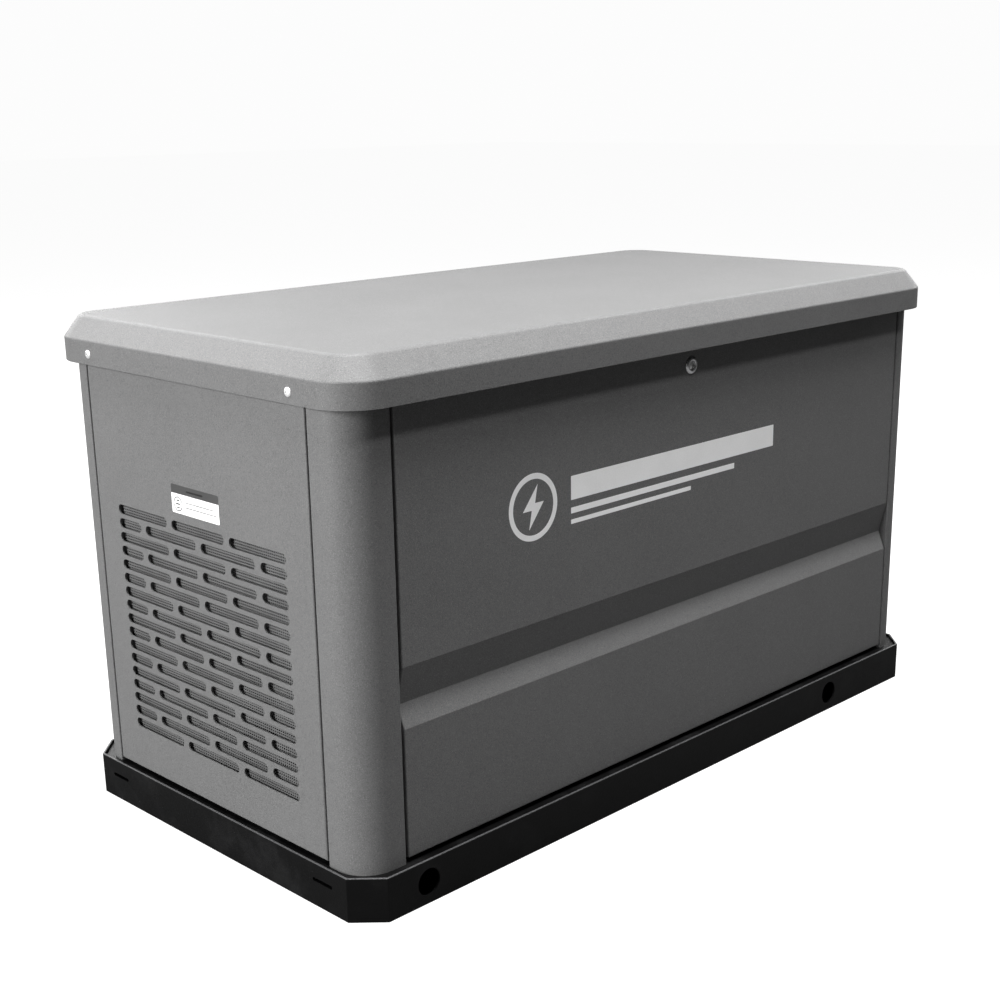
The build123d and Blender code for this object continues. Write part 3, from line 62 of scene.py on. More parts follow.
# places and sizes of single pieces, in metres unless they are shares
PAST = 10.0 * MM  # how far a cutter runs past the sheet it cuts
END_SHARE = 0.8  # radius of a post's or the door's upright edge, as a share of a fold's
TOP_BREAK_SHARE = 1.8  # radius of the lid's upper break, as a share of the lower one's
POST_BEHIND_DOOR = 5.0 * MM  # how far a post's return runs in behind the door
GROOVE_ROUNDS = (4.0 * MM, 2.0 * MM, 3.0 * MM)  # radii at the groove's bottom, valley and top
DOOR_RIM_SIDE, DOOR_RIM_FOOT, DOOR_RIM_HEAD = 20.0 * MM, 30.0 * MM, 12.0 * MM
LOCK_HOLE, GLAND_HOLE, INLET_HOLE = 9.05 * MM, 16.0 * MM, 14.3 * MM  # radii
FOOT_INSET, FOOT_HALF = 30.0 * MM, 15.0 * MM  # a panel's feet: from its ends, and half a foot's width
FOOT_LAP = 0.5 * MM  # how far a foot laps its panel
LIFT_RADIUS, LIFT_HEIGHT = 18.0 * MM, 30.0 * MM  # lifting holes and the height of their middles
LIFT_LEFT, LIFT_RIGHT = 102.0 * MM, 242.0 * MM  # lifting holes, from the base's ends
END_SLOT_Y, END_SLOT_Z = 230.0 * MM, 37.0 * MM  # middles of the slots in the base's ends
END_SLOT_HALF, END_SLOT_RISE, END_SLOT_ROUND = 19.0 * MM, 2.5 * MM, 2.4 * MM  # half sizes and corner
ANCHOR_X, ANCHOR_Y, ANCHOR_RADIUS = 540.0 * MM, 255.0 * MM, 6.0 * MM  # bolt holes in the base's floor
BASE_EDGE = 1.1 * MM  # radius of the base's outer edges
SCREEN_BACK = 5.0 * MM  # from a panel's inner side to its screen
SCREEN_SHEET, SCREEN_FRAME = 1.0 * MM, 8.0 * MM  # thickness of the sheet, width of its frame's bars
ROW_SHARE = 0.87  # height between two rows of holes, as a share of their pitch
HEAD_RADIUS, HEAD_RISE, SOCKET_SHARE = 5.8 * MM, 2.4 * MM, 0.30  # domed screws
BARREL_RING, BARREL_BODY, BARREL_BORE = 12.0 * MM, 9.0 * MM, 6.2 * MM  # radii
NUT_RADIUS, NUT_HEIGHT, NUT_BORE_SHARE = 13.0 * MM, 6.0 * MM, 1.01  # bore as a share of the barrel's body
PLUG_RADIUS, TAIL_RADIUS = 6.0 * MM, 4.0 * MM
KEY_HALF, KEY_RISE = 1.5 * MM, 4.6 * MM  # keyhole: half its width and height
KEY_LEAD, KEY_DEPTH = 2.0 * MM, 8.0 * MM  # its cutter: before and behind the plug's front
NOTCH_REACH, NOTCH_RISE = 3.4 * MM, 2.1 * MM  # its notch: reach from the middle, half its height
INK, LABEL, FILM = 0.12 * MM, 0.18 * MM, 0.05 * MM  # thickness of ink, label stock and the label's ink

# the door's print, as (place along the door, height)
EMBLEM, EMBLEM_OUTER, EMBLEM_INNER = (-0.298, 0.466), 0.044, 0.0365
BOLT = [(0.008, 0.029), (-0.019, -0.004), (-0.003, -0.004), (-0.008, -0.029), (0.019, 0.005), (0.003, 0.005)]
BARS_LEFT = -0.228
BARS = ((0.214, 0.462, 0.494), (0.120, 0.444, 0.452), (0.020, 0.430, 0.436))  # right end, foot, head

# the label above the grille, as (place across the panel, height)
LABEL_Y, LABEL_Z, LABEL_HEAD, LABEL_CORNER = (-0.046, 0.058), (0.458, 0.4955), 0.4840, 2.0 * MM
SIGN, SIGN_OUTER, SIGN_INNER = (0.044, 0.4705), 0.0096, 0.0084
SIGN_BARS = ((0.0048, 0.0060), (0.0, 0.0105), (-0.0048, 0.0060))  # height from the middle, length
LABEL_LINES = ((-0.034, 0.4745), (-0.041, 0.4680))  # left end, height
LABEL_LINE_END, LABEL_TITLE = 0.028, (-0.012, 0.4883, 0.024, 0.4905)

# the camera's place, its pan, tilt and swing in degrees, and its lens shift
CAMERA_PLACE = (-1.65074, -1.60941, 0.95134)
CAMERA_TURNS = (-48.0255, 73.6246, 3.0041)
CAMERA_SHIFT = (-0.00937, 0.0593)


# ------------------------------------------------------------------ sizes
def size(name, default, description):
    """A length the user may change, in metres."""
    return FloatProperty(
        name=name, default=default, description=description, min=0.0, subtype="DISTANCE", unit="LENGTH"
    )


def power(name, default, description):
    """A light's power, in watts."""
    return FloatProperty(name=name, default=default, description=description, min=0.0, unit="POWER")


def colour(name, default, description):
    """A finish colour the user may change."""
    return FloatVectorProperty(
        name=name, default=default, description=description, size=3, min=0, max=1, subtype="COLOR"
    )


class SheetSizes(bpy.types.PropertyGroup):
    """Folds, breaks and pressings of the sheet-metal cabinet"""

    skin: size("Sheet", 2.0 * MM, "Thickness of the painted sheet")
    fold: size("Fold radius", 2.4 * MM, "Outside radius where a panel is folded")
    post_corner: size("Post corner", 48.0 * MM, "Upright corner radius of the posts")
    lid_corner: size("Lid corner", 60.0 * MM, "Upright corner radius of the lid's skirt")
    lid_skirt: size("Lid skirt", 32.0 * MM, "Height of the lid's upright skirt")
    lid_slope: size("Lid slope", 22.5 * MM, "How far the lid's slope runs in")
    lid_break: size("Lid break", 5.0 * MM, "Radius where the lid's skirt, slope and top meet")
    panel_return: size("Panel return", 15.0 * MM, "Depth of an end panel's folded edge")
    rear_return: size("Rear return", 20.0 * MM, "Depth of the rear panel's folded edge")
    groove_top: size("Groove top", 312.0 * MM, "Upper edge of the door's pressed groove")
    groove_valley: size("Groove valley", 262.0 * MM, "Deepest line of the groove")
    groove_bottom: size("Groove bottom", 233.0 * MM, "Lower edge of the groove")
    groove_depth: size("Groove depth", 12.0 * MM, "Depth of the groove")
    seam: size("End seam", 3.0 * MM, "Gap between a post and an end panel")
    door_seam: size("Door seam", 4.0 * MM, "Gap between a post and the door or the rear panel")
    hem: size("Hem", 3.0 * MM, "How far the panels hang below their frame, towards the base's rim")
    base_cut: size("Base corner cut", 36.0 * MM, "Cut at each upright corner of the base")
    base_wall: size("Base sheet", 3.0 * MM, "Thickness of the base's sheet")
    base_rim: size("Base rim", 4.0 * MM, "Height of the rim above the base's flange")
    base_flange: size("Base flange", 50.0 * MM, "Width of the base's inward flange")


class GrilleSizes(bpy.types.PropertyGroup):
    """Slots of the end panels and the perforated screens behind them"""

    rows: IntProperty(name="Rows", default=17, min=1, description="Rows of slots")
    pitch: size("Row pitch", 19.25 * MM, "Height from one row of slots to the next")
    slot: size("Slot height", 13.6 * MM, "Height of a slot")
    gap: size("Slot gap", 11.0 * MM, "Metal between two slots of a row")
    width: size("Pattern width", 369.0 * MM, "Width of the slot pattern")
    lowest: size("Lowest row", 131.5 * MM, "Height of the lowest row's middle")
    screen_pitch: size("Screen pitch", 4.25 * MM, "Distance between the screen's holes")
    screen_open: FloatProperty(
        name="Hole share", default=0.57, min=0.1, max=0.9, description="Hole width as a share of the pitch"
    )


class FinishColours(bpy.types.PropertyGroup):
    """Colours of the finishes"""

    coat: colour("Powder coat", (0.14, 0.14, 0.14), "Textured grey powder coat")
    base: colour("Base paint", (0.003, 0.003, 0.0031), "Satin black paint of the base")
    zinc: colour("Zinc", (0.62, 0.62, 0.63), "Bright plated fasteners")
    ink: colour("White ink", (0.92, 0.92, 0.92), "White screen print and label stock")


class StageSizes(bpy.types.PropertyGroup):
    """Camera and lights"""

    lens: FloatProperty(
        name="Lens", default=55.55, unit="CAMERA", description="Focal length on a 36 mm sensor"
    )
    top_power: power("Top light", 240.0, "Softbox overhead")
    side_power: power("Side light", 245.0, "Softbox at the intake end")
    front_power: power("Front light", 50.0, "Strip lamp over the door")
    right_power: power("Right light", 95.0, "Softbox at the outlet end")
    rear_power: power("Rear light", 150.0, "Softbox behind")
    fill: FloatProperty(name="Fill", default=0.02, description="Strength of the even background light")


# ------------------------------------------------------------------ node trees
class Tree:
    """Adds nodes to a node tree and joins them in one call."""

    def __init__(self, group):
        self.group = group

    def feed(self, node, inputs):
        """Links or sets a node's inputs, given by name or number."""
        for key, value in inputs.items():
            if isinstance(value, bpy.types.NodeSocket):
                self.group.links.new(value, node.inputs[key])
            elif value is not None:
                node.inputs[key].default_value = value

    def add(self, kind, *values, out=0, **settings):
        """One node: values feed its inputs in order or by name; returns an output socket."""
        named = settings.pop("feed", {})
        node = self.group.nodes.new(kind)
        for key, value in settings.items():
            setattr(node, key, value)
        self.feed(node, {**dict(enumerate(values)), **named})
        return node.outputs[out] if len(node.outputs) else node

    def math(self, operation, *values):
        """A Math node's result."""
        return self.add("ShaderNodeMath", *values, operation=operation)

    def vector(self, x=0.0, y=0.0, z=0.0):
        """Three values as one vector."""
        return self.add("ShaderNodeCombineXYZ", x, y, z)

    def weigh(self, *pairs):
        """Values added up, each times its weight."""
        total = None
        for value, weight in pairs:
            term = value if weight == 1 else self.math("MULTIPLY", value, weight)
            total = term if total is None else self.math("ADD", total, term)
        return total

    def moved(self, geometry, x=0.0, y=0.0, z=0.0):
        """A geometry moved along."""
        return self.add("GeometryNodeTransform", geometry, feed={"Translation": self.vector(x, y, z)})

    def joined(self, *parts):
        """Several geometries as one."""
        node = self.group.nodes.new("GeometryNodeJoinGeometry")
        for part in parts:
            self.group.links.new(part, node.inputs[0])
        return node.outputs[0]


def empty_tree(owner):
    """The cleared node tree of a material or a world."""
    owner.use_nodes = True
    owner.node_tree.nodes.clear()
    return Tree(owner.node_tree)


def geometry_group(name, inputs):
    """An empty Geometry Nodes tree with a mesh input, these named inputs, and a mesh output."""
    group = bpy.data.node_groups.new(name, "GeometryNodeTree")
    group.interface.new_socket("Geometry", in_out="INPUT", socket_type="NodeSocketGeometry")
    for label, kind, default in inputs:
        socket = group.interface.new_socket(label, in_out="INPUT", socket_type=f"NodeSocket{kind}")
        if default is not None:
            socket.default_value = default
    group.interface.new_socket("Geometry", in_out="OUTPUT", socket_type="NodeSocketGeometry")
    tree = Tree(group)
    entry = group.nodes.new("NodeGroupInput")
    return tree, entry.outputs


def end_group(tree, geometry, material):
    """Closes a tree with Realize Instances and Set Material."""
    real = tree.add("GeometryNodeRealizeInstances", geometry)
    dressed = tree.add("GeometryNodeSetMaterial", real, feed={"Material": material})
    exit_node = tree.group.nodes.new("NodeGroupOutput")
    tree.group.links.new(dressed, exit_node.inputs[0])
    return tree.group


def run_group(obj, group, values):
    """Runs a tree on a piece with these inputs, and keeps only the plain mesh."""
    modifier = obj.modifiers.new(group.name, "NODES")
    modifier.node_group = group
    for item in group.interface.items_tree:
        if item.item_type == "SOCKET" and item.in_out == "INPUT" and item.name in values:
            modifier[item.identifier] = values[item.name]
    apply_modifiers(obj)


# ------------------------------------------------------------------ mesh making
def apply_modifiers(obj):
    """Makes the piece a plain mesh with what its modifiers give."""
    bpy.context.view_layer.update()
    evaluated = obj.evaluated_get(bpy.context.evaluated_depsgraph_get())
    mesh = bpy.data.meshes.new_from_object(evaluated)
    old = obj.data
    obj.modifiers.clear()
    obj.data = mesh
    mesh.name = obj.name
    if old.users == 0:
        bpy.data.meshes.remove(old)


def new_object(name, bm):
    """A scene object from a bmesh."""
    mesh = bpy.data.meshes.new(name)
    bm.to_mesh(mesh)
    bm.free()
    obj = bpy.data.objects.new(name, mesh)
    bpy.context.scene.collection.objects.link(obj)
    return obj


def close_up(obj):
    """Merges doubles and points every face outwards."""
    bm = bmesh.new()
    bm.from_mesh(obj.data)
    bmesh.ops.remove_doubles(bm, verts=bm.verts, dist=0.01 * MM)
    bmesh.ops.dissolve_degenerate(bm, dist=0.005 * MM, edges=bm.edges)
    bmesh.ops.recalc_face_normals(bm, faces=bm.faces)
    bm.to_mesh(obj.data)
    bm.free()


def soften(obj, limit):
    """Smooth shading that keeps flat sheets flat and edges past the limit sharp."""
    for polygon in obj.data.polygons:
        polygon.use_smooth = True
    obj.data.set_sharp_from_angle(angle=radians(limit))
    weighted = obj.modifiers.new("Even normals", "WEIGHTED_NORMAL")
    weighted.keep_sharp = True
    weighted.mode = "FACE_AREA"
    weighted.weight = 100
    apply_modifiers(obj)


def place(obj, body, slot, *nodes):
    """Rides a finished piece on its body and hides the nodes it stands for; its slot is not used."""
    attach(obj, body)
    if nodes:
        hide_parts(*nodes)


def fillet_path(points, radii, steps=5, closed=True):
    """The 2D path with an arc of each radius at each corner."""
    count, path = len(points), []
    for i, point in enumerate(points):
        here = Vector(point)
        radius = radii[i] if hasattr(radii, "__len__") else radii
        if radius <= 0 or (not closed and i in (0, count - 1)):
            path.append(here)
            continue
        back = (Vector(points[i - 1]) - here).normalized()
        ahead = (Vector(points[(i + 1) % count]) - here).normalized()
        half = back.angle(ahead) / 2
        if half > radians(89.5):
            path.append(here)
            continue
        run = radius / tan(half)
        start, end = here + back * run, here + ahead * run
        middle = here + (back + ahead).normalized() * (radius / sin(half))
        first, last = start - middle, end - middle
        sweep = first.angle(last)
        for k in range(steps + 1):
            share = k / steps
            a = sin((1 - share) * sweep) / sin(sweep)
            b = sin(share * sweep) / sin(sweep)
            path.append(middle + first * a + last * b)
    return path


def rounded_rectangle(width, depth, radius, steps):
    """A closed loop of points round a rounded rectangle about the origin."""
    x, y = width / 2, depth / 2
    corners = [(x, -y), (x, y), (-x, y), (-x, -y)]
    return fillet_path(corners, max(radius, 0.5 * MM), steps)


def bridge(bm, loops, around=False, ends=True):
    """Joins point loops of one length with quads, and caps the ends."""
    rings = [[bm.verts.new(p) for p in loop] for loop in loops]
    count = len(rings[0])
    pairs = list(zip(rings, rings[1:])) + ([(rings[-1], rings[0])] if around else [])
    for low, high in pairs:
        for i in range(count):
            j = (i + 1) % count
            bm.faces.new((low[i], low[j], high[j], high[i]))
    if ends and not around:
        bm.faces.new(list(reversed(rings[0])))
        bm.faces.new(rings[-1])


def on_axis(axis, value, u, v):
    """The point at value along an axis, and at u and v across it."""
    return {"X": (value, u, v), "Y": (u, value, v), "Z": (u, v, value)}[axis]


def prism(bm, outline, low, high, axis="Z"):
    """A closed prism of a 2D outline between two values along an axis."""
    bridge(bm, [[on_axis(axis, value, *p) for p in outline] for value in (low, high)])


def circle(centre, radius, steps):
    """Points round a circle."""
    turns = [2 * pi * k / steps for k in range(steps)]
    return [(centre[0] + radius * cos(a), centre[1] + radius * sin(a)) for a in turns]


def turned(bm, profile, centre, steps=40, around=False, axis="Y"):
    """A turned solid: (radius, place along the axis) pairs round the axis through a centre."""
    loops = [[on_axis(axis, value, *p) for p in circle(centre, radius, steps)] for radius, value in profile]
    bridge(bm, loops, around)


def box_bm(bm, low, high):
    """A closed box."""
    outline = [(low[0], low[1]), (high[0], low[1]), (high[0], high[1]), (low[0], high[1])]
    prism(bm, outline, low[2], high[2])


def cut(obj, make, *shape):
    """Takes away from a piece what a function such as prism or box_bm makes."""
    bm = bmesh.new()
    make(bm, *shape)
    cutter = new_object("cutter", bm)
    close_up(cutter)
    boolean = obj.modifiers.new("Cut", "BOOLEAN")
    boolean.object = cutter
    boolean.operation = "DIFFERENCE"
    boolean.solver = "EXACT"
    apply_modifiers(obj)
    bpy.data.objects.remove(cutter)


def drill(obj, centre, radius, near, far):
    """Bores a round hole along Y, from before near to past far."""
    cut(obj, turned, [(radius, near - PAST), (radius, far + PAST)], centre)


def middle_xz(node):
    """The middle of a node, seen along Y."""
    low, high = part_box(node)
    return (low.x + high.x) / 2, (low.z + high.z) / 2


def bevel_marked(obj, width, segments):
    """Rounds the edges that carry a bevel weight."""
    bevel = obj.modifiers.new("Fold", "BEVEL")
    bevel.limit_method = "WEIGHT"
    bevel.width = width
    bevel.segments = segments
    apply_modifiers(obj)


def weigh_edges(bm, chosen):
    """Marks the edges that pass a test for rounding."""
    layer = bm.edges.layers.float.get("bevel_weight_edge") or bm.edges.layers.float.new("bevel_weight_edge")
    for edge in bm.edges:
        if chosen(edge):
            edge[layer] = 1.0


# ------------------------------------------------------------------ finishes
def new_material(name):
    """A node material: returns it, its tree, its shader and the object coordinates."""
    material = bpy.data.materials.new(name)
    tree = empty_tree(material)
    shader = tree.group.nodes.new("ShaderNodeBsdfPrincipled")
    tree.add("ShaderNodeOutputMaterial", shader.outputs[0])
    return material, tree, shader, tree.add("ShaderNodeTexCoord", out=3)


def noise(tree, at, scale, detail=3.0, rough=0.55):
    """A grey noise value at this many features a metre."""
    return tree.add(
        "ShaderNodeTexNoise", feed={"Vector": at, "Scale": scale, "Detail": detail, "Roughness": rough}
    )


def ramp(tree, value, low, high, to_low=0.0, to_high=1.0):
    """The value mapped from one range to another, held at its ends."""
    return tree.add(
        "ShaderNodeMapRange", value, low, high, to_low, to_high, interpolation_type="SMOOTHSTEP"
    )


def tinted(tree, value, dark, light):
    """A colour between two, each given as three values or as a socket."""
    node = tree.group.nodes.new("ShaderNodeMix")
    node.data_type = "RGBA"
    ends = [c if isinstance(c, bpy.types.NodeSocket) else (*c, 1) for c in (dark, light)]
    tree.feed(node, {0: value, 6: ends[0], 7: ends[1]})
    return node.outputs[2]


def shade(rgb, factor):
    """A colour made lighter or darker."""
    return tuple(min(1.0, c * factor) for c in rgb)


def bump(tree, height, strength, distance):
    """A bumped normal."""
    return tree.add("ShaderNodeBump", feed={"Strength": strength, "Distance": distance, "Height": height})


def grained(name, rgb, grain, spread, rough, bump_by, metallic=0.0, spec=0.5, blotch=0.06, coat=0.0):
    """A finish with fine grain, soft blotches, uneven gloss and a bump."""
    material, tree, shader, at = new_material(name)
    fine = noise(tree, at, grain, 2.0, 0.6)
    wide = noise(tree, at, grain / 45, 4.0)
    reach = spread + blotch
    level = ramp(tree, tree.weigh((fine, spread), (wide, blotch)), reach * 0.30, reach * 0.70)
    reach = min(0.9, reach)
    inputs = {
        "Base Color": tinted(tree, level, shade(rgb, 1 - reach), shade(rgb, 1 + reach)),
        "Roughness": ramp(tree, wide, 0.3, 0.7, *rough),
        "Metallic": metallic,
        "Specular IOR Level": spec,
        "Coat Weight": coat,
        "Coat Roughness": 0.25,
        "Normal": bump(tree, fine, 0.6, bump_by),
    }
    tree.feed(shader, inputs)
    return material


def coat_material(rgb):
    """Textured powder coat: pebbled speckle with pale and dark flecks and faint clouding."""
    material, tree, shader, at = new_material("powder_coat_grey")
    pebble = noise(tree, at, 560.0, 2.0, 0.7)
    fleck = noise(tree, at, 830.0, 1.0, 0.5)
    patch = noise(tree, at, 90.0, 3.0, 0.6)
    cloud = noise(tree, at, 7.0, 3.0, 0.5)
    light_fleck = ramp(tree, fleck, 0.56, 0.72)
    dark_fleck = ramp(tree, pebble, 0.44, 0.28)
    level = tree.weigh(
        (pebble, 0.42), (patch, 0.12), (cloud, 0.12), (light_fleck, 0.42), (dark_fleck, -0.30)
    )
    inputs = {
        "Base Color": tinted(tree, ramp(tree, level, -0.05, 0.85), shade(rgb, 0.66), shade(rgb, 1.36)),
        "Roughness": ramp(tree, pebble, 0.3, 0.7, 0.52, 0.66),
        "Specular IOR Level": 0.36,
        "Normal": bump(tree, tree.weigh((pebble, 1), (patch, 0.4)), 0.6, 0.0004),
    }
    tree.feed(shader, inputs)
    return material


def base_material(rgb):
    """Satin black paint, dusty in patches, with a painted highlight along its top rim."""
    material, tree, shader, at = new_material("base_black_satin")
    fine = noise(tree, at, 420.0, 2.0)
    dust = noise(tree, at, 16.0, 5.0, 0.62)
    height = tree.add("ShaderNodeSeparateXYZ", at, out=2)
    rim_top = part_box("base_tray")[1].z
    # painted highlight: the top 1.6 mm of the rim is painted paler, broken up by fine grain
    rim_highlight_painted = ramp(tree, height, rim_top - 1.6 * MM, rim_top - 0.3 * MM)
    rim_highlight_painted = tree.math("MULTIPLY", rim_highlight_painted, ramp(tree, fine, 0.30, 0.55, 0.55, 1.0))
    paint = tinted(tree, ramp(tree, dust, 0.45, 0.75), rgb, shade(rgb, 3.0))
    inputs = {
        "Base Color": tinted(tree, rim_highlight_painted, paint, (0.07, 0.07, 0.072)),
        "Roughness": ramp(tree, dust, 0.35, 0.7, 0.30, 0.52),
        "Specular IOR Level": 0.16,
        "Normal": bump(tree, tree.weigh((fine, 1), (dust, 2.0)), 0.35, 0.0005),
    }
    tree.feed(shader, inputs)
    return material


def brushed(name, rgb, drawn, rough):
    """Metal with fine drawn lines along one axis."""
    material, tree, shader, at = new_material(name)
    squeeze = [900.0, 900.0, 900.0]
    squeeze["XYZ".index(drawn)] = 18.0
    lines = noise(tree, tree.add("ShaderNodeMapping", at, feed={"Scale": squeeze}), 1.0, 3.0, 0.6)
    wide = noise(tree, at, 22.0, 3.0)
    mix = tree.weigh((lines, 0.6), (wide, 0.4))
    inputs = {
        "Base Color": tinted(tree, ramp(tree, mix, 0.3, 0.7), shade(rgb, 0.78), shade(rgb, 1.15)),
        "Roughness": ramp(tree, mix, 0.3, 0.7, *rough),
        "Metallic": 1.0,
        "Normal": bump(tree, lines, 0.3, 0.00008),
    }
    tree.feed(shader, inputs)
    return material


def spangled(name, rgb):
    """Galvanised sheet: crystals of slightly different grey and gloss."""
    material, tree, shader, at = new_material(name)
    cells = tree.add("ShaderNodeTexVoronoi", feed={"Scale": 150.0, "Vector": at}, out="Color")
    crystal = tree.add("ShaderNodeSeparateColor", cells)
    mix = tree.weigh((crystal, 0.7), (noise(tree, at, 260.0, 3.0), 0.3))
    inputs = {
        "Base Color": tinted(tree, mix, shade(rgb, 0.84), shade(rgb, 1.06)),
        "Roughness": ramp(tree, mix, 0.2, 0.8, 0.42, 0.56),
        "Metallic": 0.9,
        "Normal": bump(tree, mix, 0.2, 0.0001),
    }
    tree.feed(shader, inputs)
    return material


def foam_material(name, rgb):
    """Egg-box acoustic foam with open pores, with painted shade in its egg-box valleys and painted light on
    its peaks.
    """
    material, tree, shader, at = new_material(name)
    split = [tree.add("ShaderNodeSeparateXYZ", at, out=axis) for axis in range(3)]
    turns = 2 * pi / (36.0 * MM)
    waves = [tree.math("SINE", tree.math("MULTIPLY", place_at, turns)) for place_at in split]
    egg_box_relief_and_shade = tree.math("ADD", waves[0], tree.math("ADD", waves[1], waves[2]))
    mix = tree.weigh((egg_box_relief_and_shade, 0.16), (noise(tree, at, 900.0, 2.0, 0.7), 1))
    inputs = {
        # painted shade and light: the colour follows the egg-box relief, darker in its valleys and paler on
        # its peaks
        "Base Color": tinted(tree, ramp(tree, mix, 0.1, 0.9), shade(rgb, 0.35), shade(rgb, 1.8)),
        "Roughness": 0.95,
        "Specular IOR Level": 0.1,
        "Normal": bump(tree, mix, 0.9, 0.004),
    }
    tree.feed(shader, inputs)
    return material


def print_material(name, rgb):
    """Printed vinyl or ink, faintly mottled."""
    return grained(name, rgb, 500.0, 0.02, (0.42, 0.55), 0.00004, blotch=0.03)


def make_finishes(colours):
    """All finishes by name."""
    coat, zinc = tuple(colours.coat), tuple(colours.zinc)
    return {
        "powder_coat": coat_material(coat),
        "base_black": base_material(tuple(colours.base)),
        "galvanised": spangled("galvanised_sheet", (0.52, 0.53, 0.54)),
        "zinc_hardware": brushed("bright_zinc", zinc, "X", (0.16, 0.30)),
        "cast_aluminium": grained(
            "cast_aluminium_raw", (0.42, 0.43, 0.44), 340.0, 0.16, (0.42, 0.62), 0.0004, metallic=0.85
        ),
        "engine_black": grained(
            "engine_enamel", (0.022, 0.022, 0.023), 300.0, 0.12, (0.28, 0.42), 0.0002, coat=0.3
        ),
        "steel": brushed("machined_steel", (0.46, 0.46, 0.47), "X", (0.20, 0.36)),
        "foam": foam_material("acoustic_foam", (0.045, 0.045, 0.048)),
        "rubber": grained(
            "moulded_rubber", (0.022, 0.022, 0.022), 520.0, 0.18, (0.62, 0.82), 0.00025, spec=0.3
        ),
        "black_plastic": grained(
            "black_plastic_grain", (0.026, 0.026, 0.028), 760.0, 0.14, (0.38, 0.52), 0.00018
        ),
        "grey_plastic": grained(
            "grey_plastic_grain", (0.16, 0.165, 0.17), 760.0, 0.08, (0.40, 0.55), 0.00018
        ),
        "brass": brushed("turned_brass", (0.66, 0.47, 0.20), "Y", (0.22, 0.36)),
        "exhaust_steel": grained(
            "aluminised_steel", (0.33, 0.31, 0.29), 260.0, 0.12, (0.36, 0.58), 0.0003,
            metallic=0.9, blotch=0.22,
        ),
        "red_plastic": grained("red_toggle", (0.42, 0.02, 0.015), 760.0, 0.06, (0.30, 0.42), 0.0001),
        "yellow_zinc": grained(
            "yellow_passivate", (0.56, 0.46, 0.20), 240.0, 0.10, (0.28, 0.45), 0.0002,
            metallic=0.85, blotch=0.16,
        ),
        "screen_metal": grained(
            "perforated_screen", (0.13, 0.13, 0.13), 700.0, 0.10, (0.45, 0.60), 0.0001, metallic=0.2
        ),
        "white_ink": print_material("white_ink", tuple(colours.ink)),
        "grey_ink": print_material("grey_ink", (0.055, 0.055, 0.055)),
        "dark_ink": print_material("dark_ink", (0.008, 0.008, 0.008)),
        "plated_head": grained(
            "plated_head", (0.80, 0.80, 0.80), 600.0, 0.05, (0.34, 0.46), 0.00005, metallic=0.45
        ),
        "chrome": brushed("lock_chrome", (0.86, 0.86, 0.87), "Z", (0.24, 0.36)),
    }


FINISHES = {}


def wear(obj, *names):
    """Gives a piece its finishes."""
    # clearing the slots would send every face back to the first finish
    for i, name in enumerate(names):
        if i < len(obj.data.materials):
            obj.data.materials[i] = FINISHES[name]
        else:
            obj.data.materials.append(FINISHES[name])
    while len(obj.data.materials) > len(names):
        obj.data.materials.pop()


def finish_piece(obj, limit, finish, body, slot, *nodes):
    """Closes a piece, softens it, gives it one finish and places it."""
    close_up(obj)
    soften(obj, limit)
    wear(obj, finish)
    place(obj, body, slot, *nodes)


class GENERATOR_OT_finishes(bpy.types.Operator):
    """Makes the finishes and gives every carried-over part its own"""

    bl_idname = "generator.finishes"
    bl_label = "Finishes"

    def execute(self, context):
        FINISHES.update(make_finishes(context.scene.generator_colours))
        for row in frame["record"]["subparts"]:
            wear(frame["nodes"][row["node"]], row["material_slot"])
        return {"FINISHED"}


# ------------------------------------------------------------------ lid
def lid_profile(sheets, bottom, top):
    """(inset, height) pairs from the lid's inner ceiling round its hem to the top."""
    crown = bottom + sheets.lid_skirt
    slope, wall, run = sheets.lid_slope, sheets.skin, sheets.lid_break
    flat = slope + 0.1  # any place on the flat top
    crisp = 0.4 * MM  # rounding of the hem
    outer = [(0.0, bottom), (0.0, crown), (slope, top), (flat, top)]
    outer = fillet_path(outer, [0, run, run * TOP_BREAK_SHARE, 0], 6, False)
    inner = [(flat, top - wall), (slope + wall, top - wall), (wall, crown), (wall, bottom)]
    inner = fillet_path(inner, [0, run, run, 0], 4, False)
    hem = [(wall, bottom + crisp), (wall * 0.72, bottom), (wall * 0.28, bottom), (0.0, bottom + crisp)]
    return [*inner[1:-1], *hem, *outer[1:-1]]


class GENERATOR_OT_lid(bpy.types.Operator):
    """Makes the lid: upright skirt, sloped crown and flat top with rounded breaks"""

    bl_idname = "generator.lid"
    bl_label = "Lid"

    def execute(self, context):
        sheets = context.scene.generator_sheets
        low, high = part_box("lid")
        width, depth = high.x - low.x, high.y - low.y
        loops = []
        for inset, z in lid_profile(sheets, low.z, high.z):
            across = (width - 2 * inset, depth - 2 * inset)
            loops.append([(*p, z) for p in rounded_rectangle(*across, sheets.lid_corner - inset, 18)])
        bm = bmesh.new()
        bridge(bm, loops)
        lid = new_object("lid_shell", bm)
        finish_piece(lid, 50, "powder_coat", "lid", "powder_coat", "lid")
        return {"FINISHED"}


